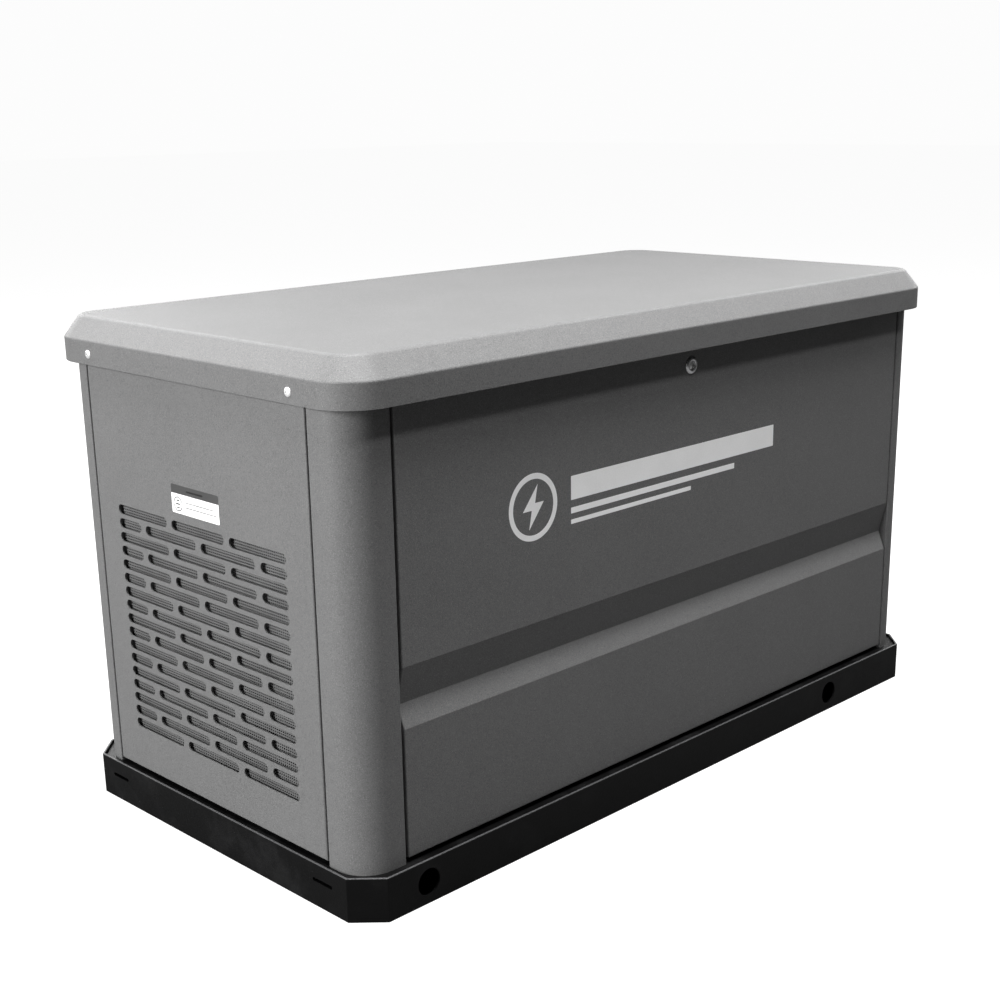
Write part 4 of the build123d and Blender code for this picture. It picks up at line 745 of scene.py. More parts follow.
# ------------------------------------------------------------------ posts, door and panels
class GENERATOR_OT_posts(bpy.types.Operator):
    """Makes the four rounded corner posts"""

    bl_idname = "generator.posts"
    bl_label = "Corner posts"

    def execute(self, context):
        sheets = context.scene.generator_sheets
        low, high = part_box("corner_posts")
        left, rear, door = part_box("left_end_panel"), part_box("rear_panel"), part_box("front_door")
        seam, wide = sheets.seam, sheets.door_seam
        depth = door[1].y - low.y + POST_BEHIND_DOOR
        fold, corner, skin = sheets.fold * END_SHARE, sheets.post_corner, sheets.skin
        reaches = {
            (-1, -1): (door[0].x - wide - low.x, left[0].y - seam - low.y),
            (1, -1): (high.x - door[1].x - wide, left[0].y - seam - low.y),
            (-1, 1): (rear[0].x - wide - low.x, high.y - left[1].y - seam),
            (1, 1): (high.x - rear[1].x - wide, high.y - left[1].y - seam),
        }
        bm = bmesh.new()
        for (side, end), (along, across) in reaches.items():
            outer = [(along, depth), (along, 0), (0, 0), (0, across), (depth, across)]
            inner = [
                (depth, across - skin), (skin, across - skin), (skin, skin),
                (along - skin, skin), (along - skin, depth),
            ]
            path = fillet_path(outer, [0, fold, corner, fold, 0], 12, False)
            path += fillet_path(inner, [0, 0, corner - skin, 0, 0], 12, False)
            prism(bm, [(side * (high.x - u), end * (high.y - v)) for u, v in path], low.z, high.z)
        posts = new_object("corner_posts_folded", bm)
        finish_piece(posts, 35, "powder_coat", "cabinet", "powder_coat", "corner_posts")
        return {"FINISHED"}


class GENERATOR_OT_door(bpy.types.Operator):
    """Makes the lift-off door with its pressed groove and folded edges"""

    bl_idname = "generator.door"
    bl_label = "Front door"

    def execute(self, context):
        s = context.scene.generator_sheets
        low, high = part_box("front_door")
        skin = s.skin

        def profile(grow, back):
            face = low.y + grow
            return [
                (back, low.z - s.hem + grow),
                (face, low.z - s.hem + grow),
                (face, s.groove_bottom),
                (face + s.groove_depth, s.groove_valley),
                (face, s.groove_top),
                (face, high.z - grow),
                (back, high.z - grow),
            ]

        outer = fillet_path(profile(0, high.y), [0, s.fold, *GROOVE_ROUNDS, s.fold, 0], 5)
        bm = bmesh.new()
        prism(bm, outer, low.x, high.x, "X")
        front = low.y + s.groove_depth + 0.5 * MM

        def end_edge(edge):
            a, b = edge.verts
            same_end = abs(a.co.x - b.co.x) < 1e-6
            return same_end and max(a.co.y, b.co.y) < front

        weigh_edges(bm, end_edge)
        door = new_object("front_door_pressed", bm)
        close_up(door)
        bevel_marked(door, s.fold * END_SHARE, 4)
        cut(door, prism, profile(skin, high.y - skin), low.x + skin, high.x - skin, "X")
        foot = (low.x + DOOR_RIM_SIDE, high.y - 2 * skin, low.z + DOOR_RIM_FOOT)
        cut(door, box_bm, foot, (high.x - DOOR_RIM_SIDE, high.y + MM, high.z - DOOR_RIM_HEAD))
        drill(door, middle_xz("lock_barrel"), LOCK_HOLE, low.y, high.y)
        finish_piece(door, 32, "powder_coat", "door", "powder_coat", "front_door")
        return {"FINISHED"}


def pan_profile(fold, skin, depth):
    """(inset, depth) pairs of a folded edge, from the face's front to its back."""
    full = 0.999  # just under the radius that would meet the face
    outer = fillet_path([(fold, 0.0), (0.0, 0.0), (0.0, depth)], [0, fold * full, 0], 5, False)
    inner = fillet_path([(skin, depth), (skin, skin), (fold, skin)], [0, (fold - skin) * full, 0], 3, False)
    return [(fold, 0.0), *outer[1:], *inner[:-1], (fold, skin)]


def pan_loops(low, high, fold, skin, depth, to_world):
    """Rectangle loops of a pan's folded edge."""
    loops = []
    for inset, deep in pan_profile(fold, skin, depth):
        corners = [
            (low[0] + inset, low[1] + inset),
            (high[0] - inset, low[1] + inset),
            (high[0] - inset, high[1] - inset),
            (low[0] + inset, high[1] - inset),
        ]
        loops.append([to_world(u, v, deep) for u, v in corners])
    return loops


def slotted_face_group():
    """Geometry Nodes: a flat sheet with rows of staggered slots, joined to the folded edge it is given."""
    tree, given = geometry_group(
        "Slotted sheet",
        [
            ("Width", "Float", 0.46),
            ("Height", "Float", 0.56),
            ("Rows", "Int", 17),
            ("Row pitch", "Float", 0.019),
            ("Lowest row", "Float", 0.1),
            ("Slot height", "Float", 0.0125),
            ("Slot gap", "Float", 0.011),
            ("Pattern width", "Float", 0.369),
            ("Sheet", "Float", 0.002),
            ("Material", "Material", None),
        ],
    )
    m = tree.math
    pitch, gap = given["Row pitch"], given["Slot gap"]
    long_slot = m("DIVIDE", m("SUBTRACT", given["Pattern width"], m("MULTIPLY", gap, 2.0)), 3.0)
    short_slot = m("DIVIDE", m("SUBTRACT", long_slot, gap), 2.0)
    step = m("ADD", long_slot, gap)
    odd_rows = m("FLOOR", m("DIVIDE", given["Rows"], 2.0))
    even_rows = m("SUBTRACT", given["Rows"], odd_rows)
    double = m("MULTIPLY", pitch, 2.0)

    def slots(length, columns, spacing, rows, start):
        shape = tree.add(
            "GeometryNodeCurvePrimitiveQuadrilateral", length, given["Slot height"], mode="RECTANGLE"
        )
        rounding = {"Count": 7, "Radius": m("MULTIPLY", given["Slot height"], 0.4999), "Limit Radius": True}
        shape = tree.add("GeometryNodeFilletCurve", shape, feed=rounding, mode="POLY")
        grid = tree.add(
            "GeometryNodeMeshGrid",
            m("MULTIPLY", spacing, columns - 1.0),
            m("MULTIPLY", double, m("SUBTRACT", rows, 1.0)),
            columns,
            rows,
        )
        middle = m("ADD", start, m("MULTIPLY", m("SUBTRACT", rows, 1.0), pitch))
        grid = tree.moved(grid, 0.0, middle)
        return tree.add("GeometryNodeInstanceOnPoints", grid, None, shape)

    first = given["Lowest row"]
    second = m("ADD", first, pitch)
    ends = m("SUBTRACT", given["Pattern width"], short_slot)
    patterns = [
        slots(long_slot, 3, step, even_rows, first),
        slots(long_slot, 2, step, odd_rows, second),
        slots(short_slot, 2, ends, odd_rows, second),
    ]
    holes = tree.add("GeometryNodeRealizeInstances", tree.joined(*patterns))
    border = tree.add(
        "GeometryNodeCurvePrimitiveQuadrilateral", given["Width"], given["Height"], mode="RECTANGLE"
    )
    border = tree.moved(border, 0.0, m("DIVIDE", given["Height"], 2.0))
    front = tree.add("GeometryNodeFillCurve", tree.joined(holes, border), mode="TRIANGLES")
    drop = m("MULTIPLY", given["Sheet"], -1.0)
    back = tree.moved(tree.add("GeometryNodeFlipFaces", front), 0.0, 0.0, drop)
    wires = tree.add("GeometryNodeCurveToMesh", holes)
    sink = {"Offset": tree.vector(0.0, 0.0, drop), "Offset Scale": 1.0}
    walls = tree.add("GeometryNodeExtrudeMesh", wires, feed=sink, mode="EDGES")
    sheet = tree.joined(given["Geometry"], front, back, walls)
    whole = tree.add("GeometryNodeMergeByDistance", sheet, feed={"Distance": 0.02 * MM})
    return end_group(tree, whole, given["Material"])


def stood_up(side, x, y, z):
    """Stands a flat sheet up on one end of the cabinet, its front facing out."""
    return Matrix(((0, 0, side, x), (side, 0, 0, y), (0, 1, 0, z), (0, 0, 0, 1)))


def add_boxes(obj, boxes):
    """Adds closed boxes, each between two corners, to a piece."""
    bm = bmesh.new()
    bm.from_mesh(obj.data)
    for low, high in boxes:
        box_bm(bm, low, high)
    bm.to_mesh(obj.data)
    bm.free()


def end_panel_piece(context, side, name, node, group):
    """One slotted end panel: its folded edge from code, its slotted face from nodes."""
    sheets, grille = context.scene.generator_sheets, context.scene.generator_grille
    low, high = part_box(node)
    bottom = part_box("front_door")[0].z - sheets.hem
    fold, skin = sheets.fold, sheets.skin
    face = high.x if side > 0 else low.x
    middle = (low.y + high.y) / 2
    half = (high.y - low.y) / 2
    bm = bmesh.new()
    height = high.z - bottom
    ends = (-half, 0.0), (half, height)
    loops = pan_loops(*ends, fold, skin, sheets.panel_return, lambda u, v, deep: (u, v, -deep))
    bridge(bm, loops, ends=False)
    panel = new_object(name, bm)
    # the sheet is drawn flat, and then stood up on its end of the cabinet
    panel.data.transform(Matrix.Translation((0, -fold, 0)))
    run_group(
        panel,
        group,
        {
            "Width": 2 * (half - fold),
            "Height": height - 2 * fold,
            "Rows": grille.rows,
            "Row pitch": grille.pitch,
            "Lowest row": grille.lowest - bottom - fold,
            "Slot height": grille.slot,
            "Slot gap": grille.gap,
            "Pattern width": grille.width,
            "Sheet": skin,
            "Material": FINISHES["powder_coat"],
        },
    )
    panel.data.transform(stood_up(side, face, middle, bottom + fold))
    inner = face - side * sheets.panel_return
    near, far = sorted((inner, inner + side * skin))
    feet = [
        ((near, y - FOOT_HALF, low.z), (far, y + FOOT_HALF, bottom + FOOT_LAP))
        for y in (low.y + FOOT_INSET, high.y - FOOT_INSET)
    ]
    add_boxes(panel, feet)
    finish_piece(panel, 35, "powder_coat", "cabinet", "powder_coat", node)


class GENERATOR_OT_end_panels(bpy.types.Operator):
    """Makes the two slotted end panels"""

    bl_idname = "generator.end_panels"
    bl_label = "End panels"

    def execute(self, context):
        group = slotted_face_group()
        end_panel_piece(context, -1, "intake_panel", "left_end_panel", group)
        end_panel_piece(context, 1, "outlet_panel", "right_end_panel", group)
        return {"FINISHED"}


class GENERATOR_OT_rear_panel(bpy.types.Operator):
    """Makes the plain rear panel with its two service holes"""

    bl_idname = "generator.rear_panel"
    bl_label = "Rear panel"

    def execute(self, context):
        sheets = context.scene.generator_sheets
        low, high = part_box("rear_panel")
        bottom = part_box("front_door")[0].z - sheets.hem
        fold, skin = sheets.fold, sheets.skin
        bm = bmesh.new()
        ends = (low.x, bottom), (high.x, high.z)
        bridge(bm, pan_loops(*ends, fold, skin, sheets.rear_return, lambda u, v, deep: (u, high.y - deep, v)))
        back = high.y - sheets.rear_return
        for x in (low.x + FOOT_INSET, high.x - FOOT_INSET):
            box_bm(bm, (x - FOOT_HALF, back, low.z), (x + FOOT_HALF, back + skin, bottom + FOOT_LAP))
        panel = new_object("rear_panel_folded", bm)
        close_up(panel)
        for node, radius in (("cable_gland", GLAND_HOLE), ("gas_inlet", INLET_HOLE)):
            drill(panel, middle_xz(node), radius, high.y, high.y)
        finish_piece(panel, 35, "powder_coat", "cabinet", "powder_coat", "rear_panel")
        return {"FINISHED"}


# ------------------------------------------------------------------ base
class GENERATOR_OT_base(bpy.types.Operator):
    """Makes the black base tray with its rim, flange, lifting holes and slots"""

    bl_idname = "generator.base"
    bl_label = "Base tray"

    def execute(self, context):
        s = context.scene.generator_sheets
        low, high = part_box("base_tray")
        length, width = high.x - low.x, high.y - low.y
        wall, rim, flange = s.base_wall, s.base_rim, s.base_flange
        seat = high.z - rim

        def loop(inset, z):
            x, y = length / 2 - inset, width / 2 - inset
            cut_in = max(s.base_cut - inset * (2 - sqrt(2)), 1.0 * MM)
            corners = [
                (x, -y + cut_in), (x, y - cut_in), (x - cut_in, y), (-x + cut_in, y),
                (-x, y - cut_in), (-x, -y + cut_in), (-x + cut_in, -y), (x - cut_in, -y),
            ]
            radius = max(2.0 * MM - inset * 0.2, 0.6 * MM)
            return [(*p, z) for p in fillet_path(corners, radius, 3)]

        soft = BASE_EDGE
        arc = [(soft * (1 - cos(a)), high.z - soft * (1 - sin(a))) for a in (0, 0.4, 0.8, 1.2, pi / 2)]
        profile = [(soft, low.z), (0.0, low.z + soft), *arc]
        profile += [(wall - soft / 2, high.z), (wall, high.z - soft / 2), (wall, seat), (flange, seat)]
        profile += [(flange, seat - wall), (wall, seat - wall), (wall, low.z + wall)]
        bm = bmesh.new()
        bridge(bm, [loop(inset, z) for inset, z in profile])
        base = new_object("base_tray_folded", bm)
        close_up(base)
        for x in (low.x + LIFT_LEFT, high.x - LIFT_RIGHT):
            drill(base, (x, LIFT_HEIGHT), LIFT_RADIUS, low.y, high.y)
        for y in (-END_SLOT_Y, END_SLOT_Y):
            left, right = y - END_SLOT_HALF, y + END_SLOT_HALF
            foot, head = END_SLOT_Z - END_SLOT_RISE, END_SLOT_Z + END_SLOT_RISE
            slot = fillet_path([(left, foot), (right, foot), (right, head), (left, head)], END_SLOT_ROUND, 4)
            cut(base, prism, slot, low.x - PAST, high.x + PAST, "X")
        for x in (-ANCHOR_X, ANCHOR_X):
            for y in (-ANCHOR_Y, ANCHOR_Y):
                cut(base, prism, circle((x, y), ANCHOR_RADIUS, 24), low.z - PAST, low.z + PAST)
        finish_piece(base, 40, "base_black", "cabinet", "base_black", "base_tray")
        return {"FINISHED"}


# ------------------------------------------------------------------ screens
def screen_group():
    """Geometry Nodes: a perforated sheet, its rows of holes staggered."""
    tree, given = geometry_group(
        "Perforated screen",
        [
            ("Width", "Float", 0.39),
            ("Height", "Float", 0.35),
            ("Columns", "Int", 80),
            ("Rows", "Int", 70),
            ("Hole share", "Float", 0.6),
            ("Sheet", "Float", 0.001),
            ("Material", "Material", None),
        ],
    )
    m = tree.math
    grid = tree.add(
        "GeometryNodeMeshGrid",
        given["Width"],
        given["Height"],
        m("ADD", given["Columns"], 1.0),
        m("ADD", given["Rows"], 1.0),
    )
    pitch = m("DIVIDE", given["Width"], given["Columns"])
    line = m("DIVIDE", given["Height"], given["Rows"])
    position = tree.add("GeometryNodeInputPosition")
    height = tree.add("ShaderNodeSeparateXYZ", position, out=1)
    row = m("ROUND", m("DIVIDE", m("ADD", height, m("DIVIDE", given["Height"], 2.0)), line))
    shift = m("MULTIPLY", m("MODULO", row, 2.0), m("MULTIPLY", pitch, 0.5))
    grid = tree.add("GeometryNodeSetPosition", grid, feed={"Offset": tree.vector(shift)})
    # each face is split into a ring and a middle, and the middles are taken out
    split = tree.group.nodes.new("GeometryNodeExtrudeMesh")
    split.mode = "FACES"
    tree.feed(split, {"Mesh": grid, "Offset Scale": 0.0, "Individual": True})
    middles = split.outputs["Top"]
    shrink = {"Selection": middles, "Scale": given["Hole share"]}
    scaled = tree.add("GeometryNodeScaleElements", split.outputs["Mesh"], feed=shrink, domain="FACE")
    lattice = tree.add("GeometryNodeDeleteGeometry", scaled, middles, domain="FACE")
    lattice = tree.add("GeometryNodeMergeByDistance", lattice, feed={"Distance": 0.01 * MM})
    drop = tree.vector(0.0, 0.0, m("MULTIPLY", given["Sheet"], -1.0))
    sink = {"Offset": drop, "Offset Scale": 1.0, "Individual": False}
    sunk = tree.add("GeometryNodeExtrudeMesh", lattice, feed=sink, mode="FACES")
    both = tree.joined(tree.add("GeometryNodeFlipFaces", sunk), lattice)
    whole = tree.add("GeometryNodeMergeByDistance", both, feed={"Distance": 0.01 * MM})
    return end_group(tree, whole, given["Material"])


class GENERATOR_OT_screens(bpy.types.Operator):
    """Makes the perforated screens in their frames behind the slots"""

    bl_idname = "generator.screens"
    bl_label = "Air screens"

    def execute(self, context):
        grille = context.scene.generator_grille
        low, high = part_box("air_screens")
        group = screen_group()
        width, height = high.y - low.y, high.z - low.z
        pitch, bar = grille.screen_pitch, SCREEN_FRAME
        skin = context.scene.generator_sheets.skin
        near = -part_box("left_end_panel")[0].x - skin
        for side, name in ((-1, "intake_screen"), (1, "outlet_screen")):
            screen = new_object(name, bmesh.new())
            values = {
                "Width": width - bar - pitch,
                "Height": height - bar,
                "Columns": int((width - bar) / pitch),
                "Rows": int((height - bar) / (pitch * ROW_SHARE)),
                "Hole share": grille.screen_open,
                "Sheet": SCREEN_SHEET,
                "Material": FINISHES["screen_metal"],
            }
            run_group(screen, group, values)
            face = side * (near - SCREEN_BACK)
            middle = (low.y + high.y) / 2 - side * pitch / 4
            screen.data.transform(stood_up(side, face, middle, (low.z + high.z) / 2))
            front, back = sorted((side * near, face - side * SCREEN_SHEET))
            left, right = low.y + bar, high.y - bar
            frame_bars = [
                ((front, left, low.z), (back, right, low.z + bar)),
                ((front, right, low.z), (back, high.y, high.z)),
                ((front, left, high.z - bar), (back, right, high.z)),
                ((front, low.y, low.z), (back, left, high.z)),
            ]
            add_boxes(screen, frame_bars)
            wear(screen, "screen_metal")
            place(screen, "cabinet", "galvanised", "air_screens")
        return {"FINISHED"}


# ------------------------------------------------------------------ fasteners
def button_head_group():
    """Geometry Nodes: a domed head with a hexagon socket at every point, turned to face along 'aim'."""
    tree, given = geometry_group(
        "Button heads",
        [
            ("Radius", "Float", 0.0058),
            ("Height", "Float", 0.0024),
            ("Socket", "Float", 0.0022),
            ("Material", "Material", None),
        ],
    )
    m = tree.math
    radius, height = given["Radius"], given["Height"]
    ball = tree.add("GeometryNodeMeshUVSphere", 28, 14, radius)
    squash = tree.vector(1.0, 1.0, m("DIVIDE", height, radius))
    dome = tree.add("GeometryNodeTransform", ball, feed={"Scale": squash})
    wide = m("MULTIPLY", radius, 4.0)
    under = tree.add("GeometryNodeMeshCube", tree.vector(wide, wide, height))
    under = tree.moved(under, 0.0, 0.0, m("MULTIPLY", height, -0.5))
    socket = tree.add("GeometryNodeMeshCylinder", 6, 1, 1, given["Socket"], height)
    socket = tree.moved(socket, 0.0, 0.0, m("MULTIPLY", height, 0.95))
    boolean = tree.group.nodes.new("GeometryNodeMeshBoolean")
    boolean.operation = "DIFFERENCE"
    boolean.solver = "EXACT"
    tree.feed(boolean, {0: dome, 1: tree.joined(socket, under)})
    aim = tree.add("GeometryNodeInputNamedAttribute", data_type="FLOAT_VECTOR", feed={"Name": "aim"})
    turn = tree.add("FunctionNodeAlignRotationToVector", feed={"Vector": aim}, axis="Z")
    stamp = {"Instance": boolean.outputs[0], "Rotation": turn}
    heads = tree.add("GeometryNodeInstanceOnPoints", given["Geometry"], feed=stamp)
    return end_group(tree, heads, given["Material"])


def screw_heads(name, group, spots, body, node):
    """One piece of button heads at these (place, direction) spots."""
    bm = bmesh.new()
    aim = bm.verts.layers.float_vector.new("aim")
    for spot, direction in spots:
        bm.verts.new(spot)[aim] = direction
    piece = new_object(name, bm)
    socket = HEAD_RADIUS * SOCKET_SHARE
    sizes = {"Radius": HEAD_RADIUS, "Height": HEAD_RISE, "Socket": socket}
    run_group(piece, group, {**sizes, "Material": FINISHES["plated_head"]})
    finish_piece(piece, 40, "plated_head", body, "zinc_hardware", node)


class GENERATOR_OT_fasteners(bpy.types.Operator):
    """Makes the domed screws of the lid and the rear panel"""

    bl_idname = "generator.fasteners"
    bl_label = "Fasteners"

    def execute(self, context):
        group = button_head_group()
        low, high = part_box("lid_screws")
        end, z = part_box("lid")[1].x, (low.z + high.z) / 2
        ys = (low.y + HEAD_RADIUS, high.y - HEAD_RADIUS)
        spots = [((side * end, y, z), (side, 0, 0)) for side in (-1, 1) for y in ys]
        screw_heads("lid_screw_heads", group, spots, "lid", "lid_screws")
        low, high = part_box("rear_screws")
        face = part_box("rear_panel")[1].y
        xs = (low.x + HEAD_RADIUS, high.x - HEAD_RADIUS)
        zs = (low.z + HEAD_RADIUS, (low.z + high.z) / 2, high.z - HEAD_RADIUS)
        spots = [((x, face, z), (0, 1, 0)) for x in xs for z in zs]
        screw_heads("rear_screw_heads", group, spots, "cabinet", "rear_screws")
        return {"FINISHED"}


# ------------------------------------------------------------------ lock
class GENERATOR_OT_lock(bpy.types.Operator):
    """Makes the cam lock's plated barrel and its keyed plug"""

    bl_idname = "generator.lock"
    bl_label = "Lock"

    def execute(self, context):
        low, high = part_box("lock_barrel")
        x, z = middle_xz("lock_barrel")
        front, face = low.y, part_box("front_door")[0].y
        ring, body, bore = BARREL_RING, BARREL_BODY, BARREL_BORE
        profile = [(bore, high.y), (body, high.y), (body, face)]
        profile += [(ring, face), (ring, face - 0.7 * MM), (ring - 0.4 * MM, face - 1.3 * MM)]
        profile += [(ring - 1.4 * MM, front + 0.75 * MM), (ring - 2.7 * MM, front + 0.2 * MM)]
        profile += [(ring - 3.7 * MM, front), (bore + 1.3 * MM, front + 0.05 * MM)]
        profile += [(bore + 0.5 * MM, front + 0.4 * MM), (bore, front + 1.5 * MM)]
        bm = bmesh.new()
        turned(bm, profile, (x, z), 48, around=True)
        outer = fillet_path(circle((x, z), NUT_RADIUS, 6), 1.0 * MM, 3)
        inner = []
        for p in outer:
            share = body * NUT_BORE_SHARE / hypot(p.x - x, p.y - z)
            inner.append((x + (p.x - x) * share, z + (p.y - z) * share))
        back = face + context.scene.generator_sheets.skin
        top = back + NUT_HEIGHT
        walls = ((outer, back), (outer, top), (inner, top), (inner, back))
        bridge(bm, [[on_axis("Y", y, *p) for p in path] for path, y in walls], around=True)
        barrel = new_object("lock_barrel_turned", bm)
        finish_piece(barrel, 38, "chrome", "door", "zinc_hardware", "lock_barrel")

        radius, shoulder, end = PLUG_RADIUS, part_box("lock_cam")[0].y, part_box("lock_plug")[1].y
        dome = [(0.30, 0.15), (0.55, 0.35), (0.78, 0.7), (0.93, 1.2), (1.0, 1.8)]
        profile = [(radius * share, front + sink * MM) for share, sink in dome]
        profile += [(radius, shoulder), (TAIL_RADIUS, shoulder), (TAIL_RADIUS, end)]
        bm = bmesh.new()
        turned(bm, profile, (x, z))
        plug = new_object("lock_plug_keyed", bm)
        close_up(plug)
        for right, rise in ((KEY_HALF, KEY_RISE), (NOTCH_REACH, NOTCH_RISE)):
            foot = (x - KEY_HALF, front - KEY_LEAD, z - rise)
            cut(plug, box_bm, foot, (x + right, front + KEY_DEPTH, z + rise))
        finish_piece(plug, 38, "plated_head", "lock", "zinc_hardware", "lock_plug")
        return {"FINISHED"}


# ------------------------------------------------------------------ prints
class Printed:
    """Thin shapes standing off one face, towards the low side of an axis."""

    def __init__(self, axis):
        self.axis = axis
        self.bm = bmesh.new()

    def painted(self, start, material):
        """Gives the faces made since start their finish."""
        self.bm.faces.ensure_lookup_table()
        for polygon in self.bm.faces[start:]:
            polygon.material_index = material

    def plate(self, outline, face, thick, material=0):
        """A flat shape."""
        start = len(self.bm.faces)
        prism(self.bm, outline, face - thick, face, self.axis)
        self.painted(start, material)

    def bar(self, u0, v0, u1, v1, face, thick, material=0, radius=0.6 * MM):
        """A bar with slightly rounded corners."""
        outline = [(u0, v0), (u1, v0), (u1, v1), (u0, v1)]
        self.plate(fillet_path(outline, radius, 3), face, thick, material)

    def ring(self, centre, outer, inner, face, thick, material=0, steps=40):
        """A flat ring."""
        start = len(self.bm.faces)
        profile = [(outer, face - thick), (outer, face), (inner, face), (inner, face - thick)]
        turned(self.bm, profile, centre, steps, True, self.axis)
        self.painted(start, material)


class GENERATOR_OT_prints(bpy.types.Operator):
    """Makes the plain white print on the door and the blank label on the intake panel"""

    bl_idname = "generator.prints"
    bl_label = "Door print and label"

    def execute(self, context):
        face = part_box("front_door")[0].y
        ink = Printed("Y")
        ink.ring(EMBLEM, EMBLEM_OUTER, EMBLEM_INNER, face, INK, steps=64)
        ink.plate([(EMBLEM[0] + x, EMBLEM[1] + z) for x, z in BOLT], face, INK)
        for right, foot, head in BARS:
            ink.bar(BARS_LEFT, foot, right, head, face, INK)
        mark = new_object("door_print", ink.bm)
        close_up(mark)
        wear(mark, "white_ink")
        place(mark, "door", "powder_coat")

        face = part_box("left_end_panel")[0].x
        stock = Printed("X")
        (left, right), (foot, head), split, corner = LABEL_Y, LABEL_Z, LABEL_HEAD, LABEL_CORNER
        sheet = [(left, foot), (right, foot), (right, split), (left, split)]
        band = [(left, split), (right, split), (right, head), (left, head)]
        stock.plate(fillet_path(sheet, [corner, corner, 0, 0], 4), face, LABEL, 0)
        stock.plate(fillet_path(band, [0, 0, corner, corner], 4), face, LABEL, 1)
        top = face - LABEL
        stock.ring(SIGN, SIGN_OUTER, SIGN_INNER, top, FILM, 2)
        for rise, length in SIGN_BARS:
            y, z = SIGN[0], SIGN[1] + rise
            ends = (y - length / 2, z - 0.8 * MM, y + length / 2, z + 0.8 * MM)
            stock.bar(*ends, top, FILM, 2, 0.3 * MM)
        for y, z in LABEL_LINES:
            stock.bar(y, z - 0.5 * MM, LABEL_LINE_END, z + 0.5 * MM, top, FILM, 1, 0.2 * MM)
        stock.bar(*LABEL_TITLE, top, FILM, 2)
        label = new_object("intake_label", stock.bm)
        close_up(label)
        wear(label, "white_ink", "grey_ink", "dark_ink")
        place(label, "cabinet", "powder_coat")
        return {"FINISHED"}


# ------------------------------------------------------------------ stage
def look_from(location, pan, tilt, swing):
    """A camera's matrix from its place and its three turns in degrees."""
    turn = (
        Matrix.Rotation(radians(pan), 4, "Z")
        @ Matrix.Rotation(radians(tilt), 4, "X")
        @ Matrix.Rotation(radians(swing), 4, "Y")
    )
    return Matrix.Translation(location) @ turn


def softbox(name, location, target, size_x, size_y, watts):
    """A rectangular area light aimed at a point."""
    light = bpy.data.lights.new(name, "AREA")
    light.shape = "RECTANGLE"
    light.size, light.size_y, light.energy = size_x, size_y, watts
    obj = bpy.data.objects.new(name, light)
    obj.location = location
    obj.rotation_euler = (Vector(target) - Vector(location)).to_track_quat("-Z", "Y").to_euler()
    bpy.context.scene.collection.objects.link(obj)


def floor_material():
    """A pale seamless floor: white where it is seen, and sending little light back up."""
    material = bpy.data.materials.new("pale_floor")
    tree = empty_tree(material)
    at = tree.add("ShaderNodeTexCoord", out=3)
    soft = noise(tree, at, 3.0, 2.0)
    pale = tinted(tree, soft, (0.20, 0.20, 0.20), (0.22, 0.22, 0.22))
    seen = tree.add("ShaderNodeBsdfDiffuse", pale)
    glow = tree.add("ShaderNodeEmission", (1, 1, 1, 1), 0.96)
    bright = tree.add("ShaderNodeAddShader", seen, glow)
    dim = tree.add("ShaderNodeBsdfDiffuse", (0.10, 0.10, 0.10, 1))
    path = tree.add("ShaderNodeLightPath", out=0)
    mixed = tree.add("ShaderNodeMixShader", path, dim, bright)
    tree.add("ShaderNodeOutputMaterial", mixed)
    return material


def background(strength):
    """An even grey background light, white where it is seen."""
    world = bpy.data.worlds.new("studio")
    bpy.context.scene.world = world
    tree = empty_tree(world)
    seen = tree.add("ShaderNodeLightPath", out=0)
    level = ramp(tree, seen, 0.0, 1.0, strength, 0.975)
    back = tree.add("ShaderNodeBackground", (1, 1, 1, 1), level)
    tree.add("ShaderNodeOutputWorld", back)


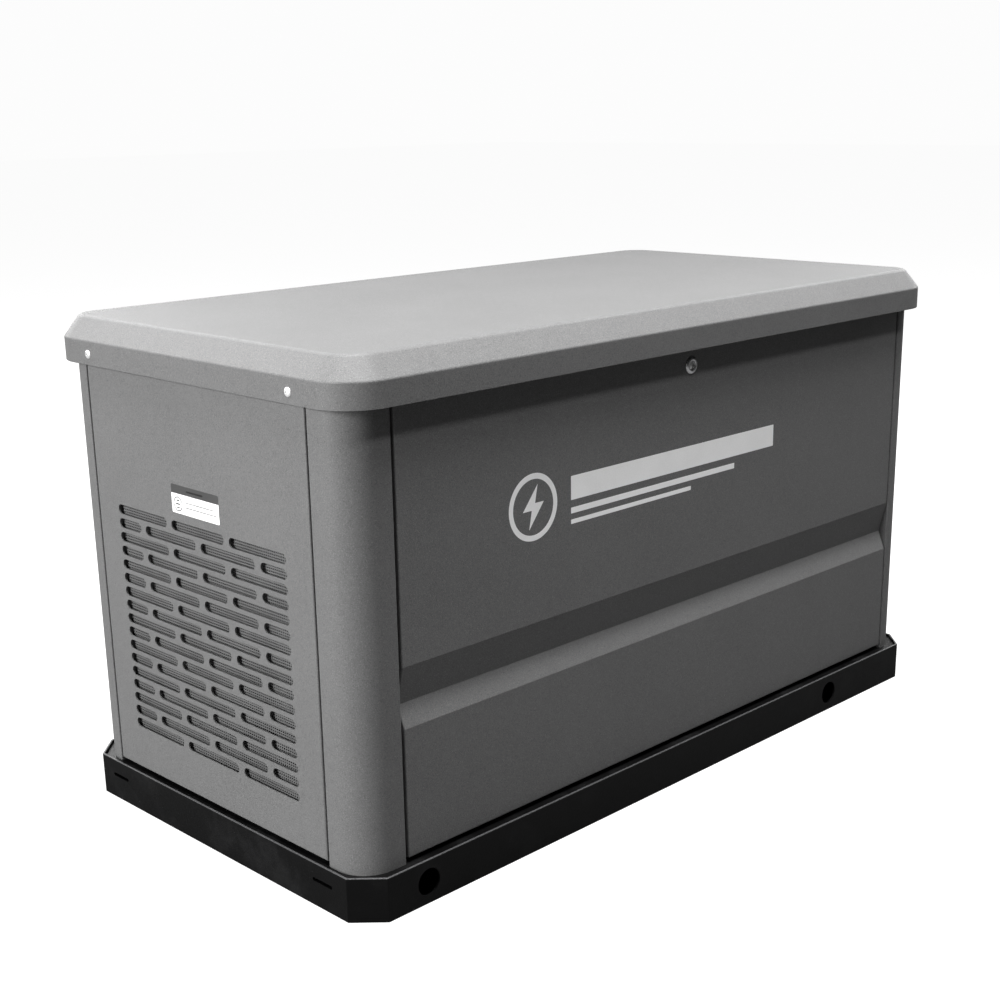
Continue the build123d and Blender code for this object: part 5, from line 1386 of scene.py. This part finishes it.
class GENERATOR_OT_stage(bpy.types.Operator):
    """Makes the pale floor, the soft lights and the camera"""

    bl_idname = "generator.stage"
    bl_label = "Stage"

    def execute(self, context):
        stage, scene = context.scene.generator_stage, context.scene
        bm = bmesh.new()
        bmesh.ops.create_grid(bm, x_segments=8, y_segments=8, size=30)
        floor = new_object("floor", bm)
        floor.data.materials.append(floor_material())
        softbox("top_light", (-0.3, -0.5, 3.4), (0, 0, 0.6), 2.4, 0.9, stage.top_power)
        softbox("front_light", (-0.2, -1.8, 3.4), (0, 0, 0.6), 1.4, 0.3, stage.front_power)
        softbox("side_light", (-4.2, 0.3, 1.5), (-0.3, 0, 0.3), 1.8, 1.8, stage.side_power)
        softbox("right_light", (4.0, 0.2, 2.2), (0.3, 0, 0.4), 2.6, 2.2, stage.right_power)
        softbox("rear_light", (0.0, 4.2, 2.2), (0, 0.3, 0.4), 3.4, 2.2, stage.rear_power)
        background(stage.fill)
        scene.view_settings.view_transform = "Standard"
        data = bpy.data.cameras.new("camera")
        data.lens, data.sensor_width = stage.lens, 36.0
        data.shift_x, data.shift_y = CAMERA_SHIFT
        data.clip_end = 100
        camera = bpy.data.objects.new("camera", data)
        camera.matrix_world = look_from(CAMERA_PLACE, *CAMERA_TURNS)
        scene.collection.objects.link(camera)
        scene.camera = camera
        return {"FINISHED"}


# ------------------------------------------------------------------ add-on
STEPS = (
    GENERATOR_OT_finishes,
    GENERATOR_OT_stage,
    GENERATOR_OT_lid,
    GENERATOR_OT_posts,
    GENERATOR_OT_door,
    GENERATOR_OT_end_panels,
    GENERATOR_OT_rear_panel,
    GENERATOR_OT_base,
    GENERATOR_OT_screens,
    GENERATOR_OT_fasteners,
    GENERATOR_OT_lock,
    GENERATOR_OT_prints,
)


class GENERATOR_PT_panel(bpy.types.Panel):
    """Lists the generator's sizes, colours and making steps"""

    bl_label = "Standby generator"
    bl_idname = "GENERATOR_PT_panel"
    bl_space_type = "VIEW_3D"
    bl_region_type = "UI"
    bl_category = "Generator"

    def draw(self, context):
        for group in GROUPS:
            box = self.layout.box()
            values = getattr(context.scene, group)
            for name in values.__annotations__:
                box.prop(values, name)
        for step in STEPS:
            self.layout.operator(step.bl_idname)


GROUPS = {
    "generator_sheets": SheetSizes,
    "generator_grille": GrilleSizes,
    "generator_colours": FinishColours,
    "generator_stage": StageSizes,
}


def register():
    """Registers the sizes, the steps and the panel."""
    for name, group in GROUPS.items():
        bpy.utils.register_class(group)
        setattr(bpy.types.Scene, name, PointerProperty(type=group))
    for step in (*STEPS, GENERATOR_PT_panel):
        bpy.utils.register_class(step)


def unregister():
    """Takes them away again."""
    for step in (GENERATOR_PT_panel, *reversed(STEPS)):
        bpy.utils.unregister_class(step)
    for name, group in GROUPS.items():
        delattr(bpy.types.Scene, name)
        bpy.utils.unregister_class(group)


def main():
    """Builds everything."""
    register()
    for step in STEPS:
        category, name = step.bl_idname.split(".")
        getattr(getattr(bpy.ops, category), name)()


if __name__ == "__main__":
    main()
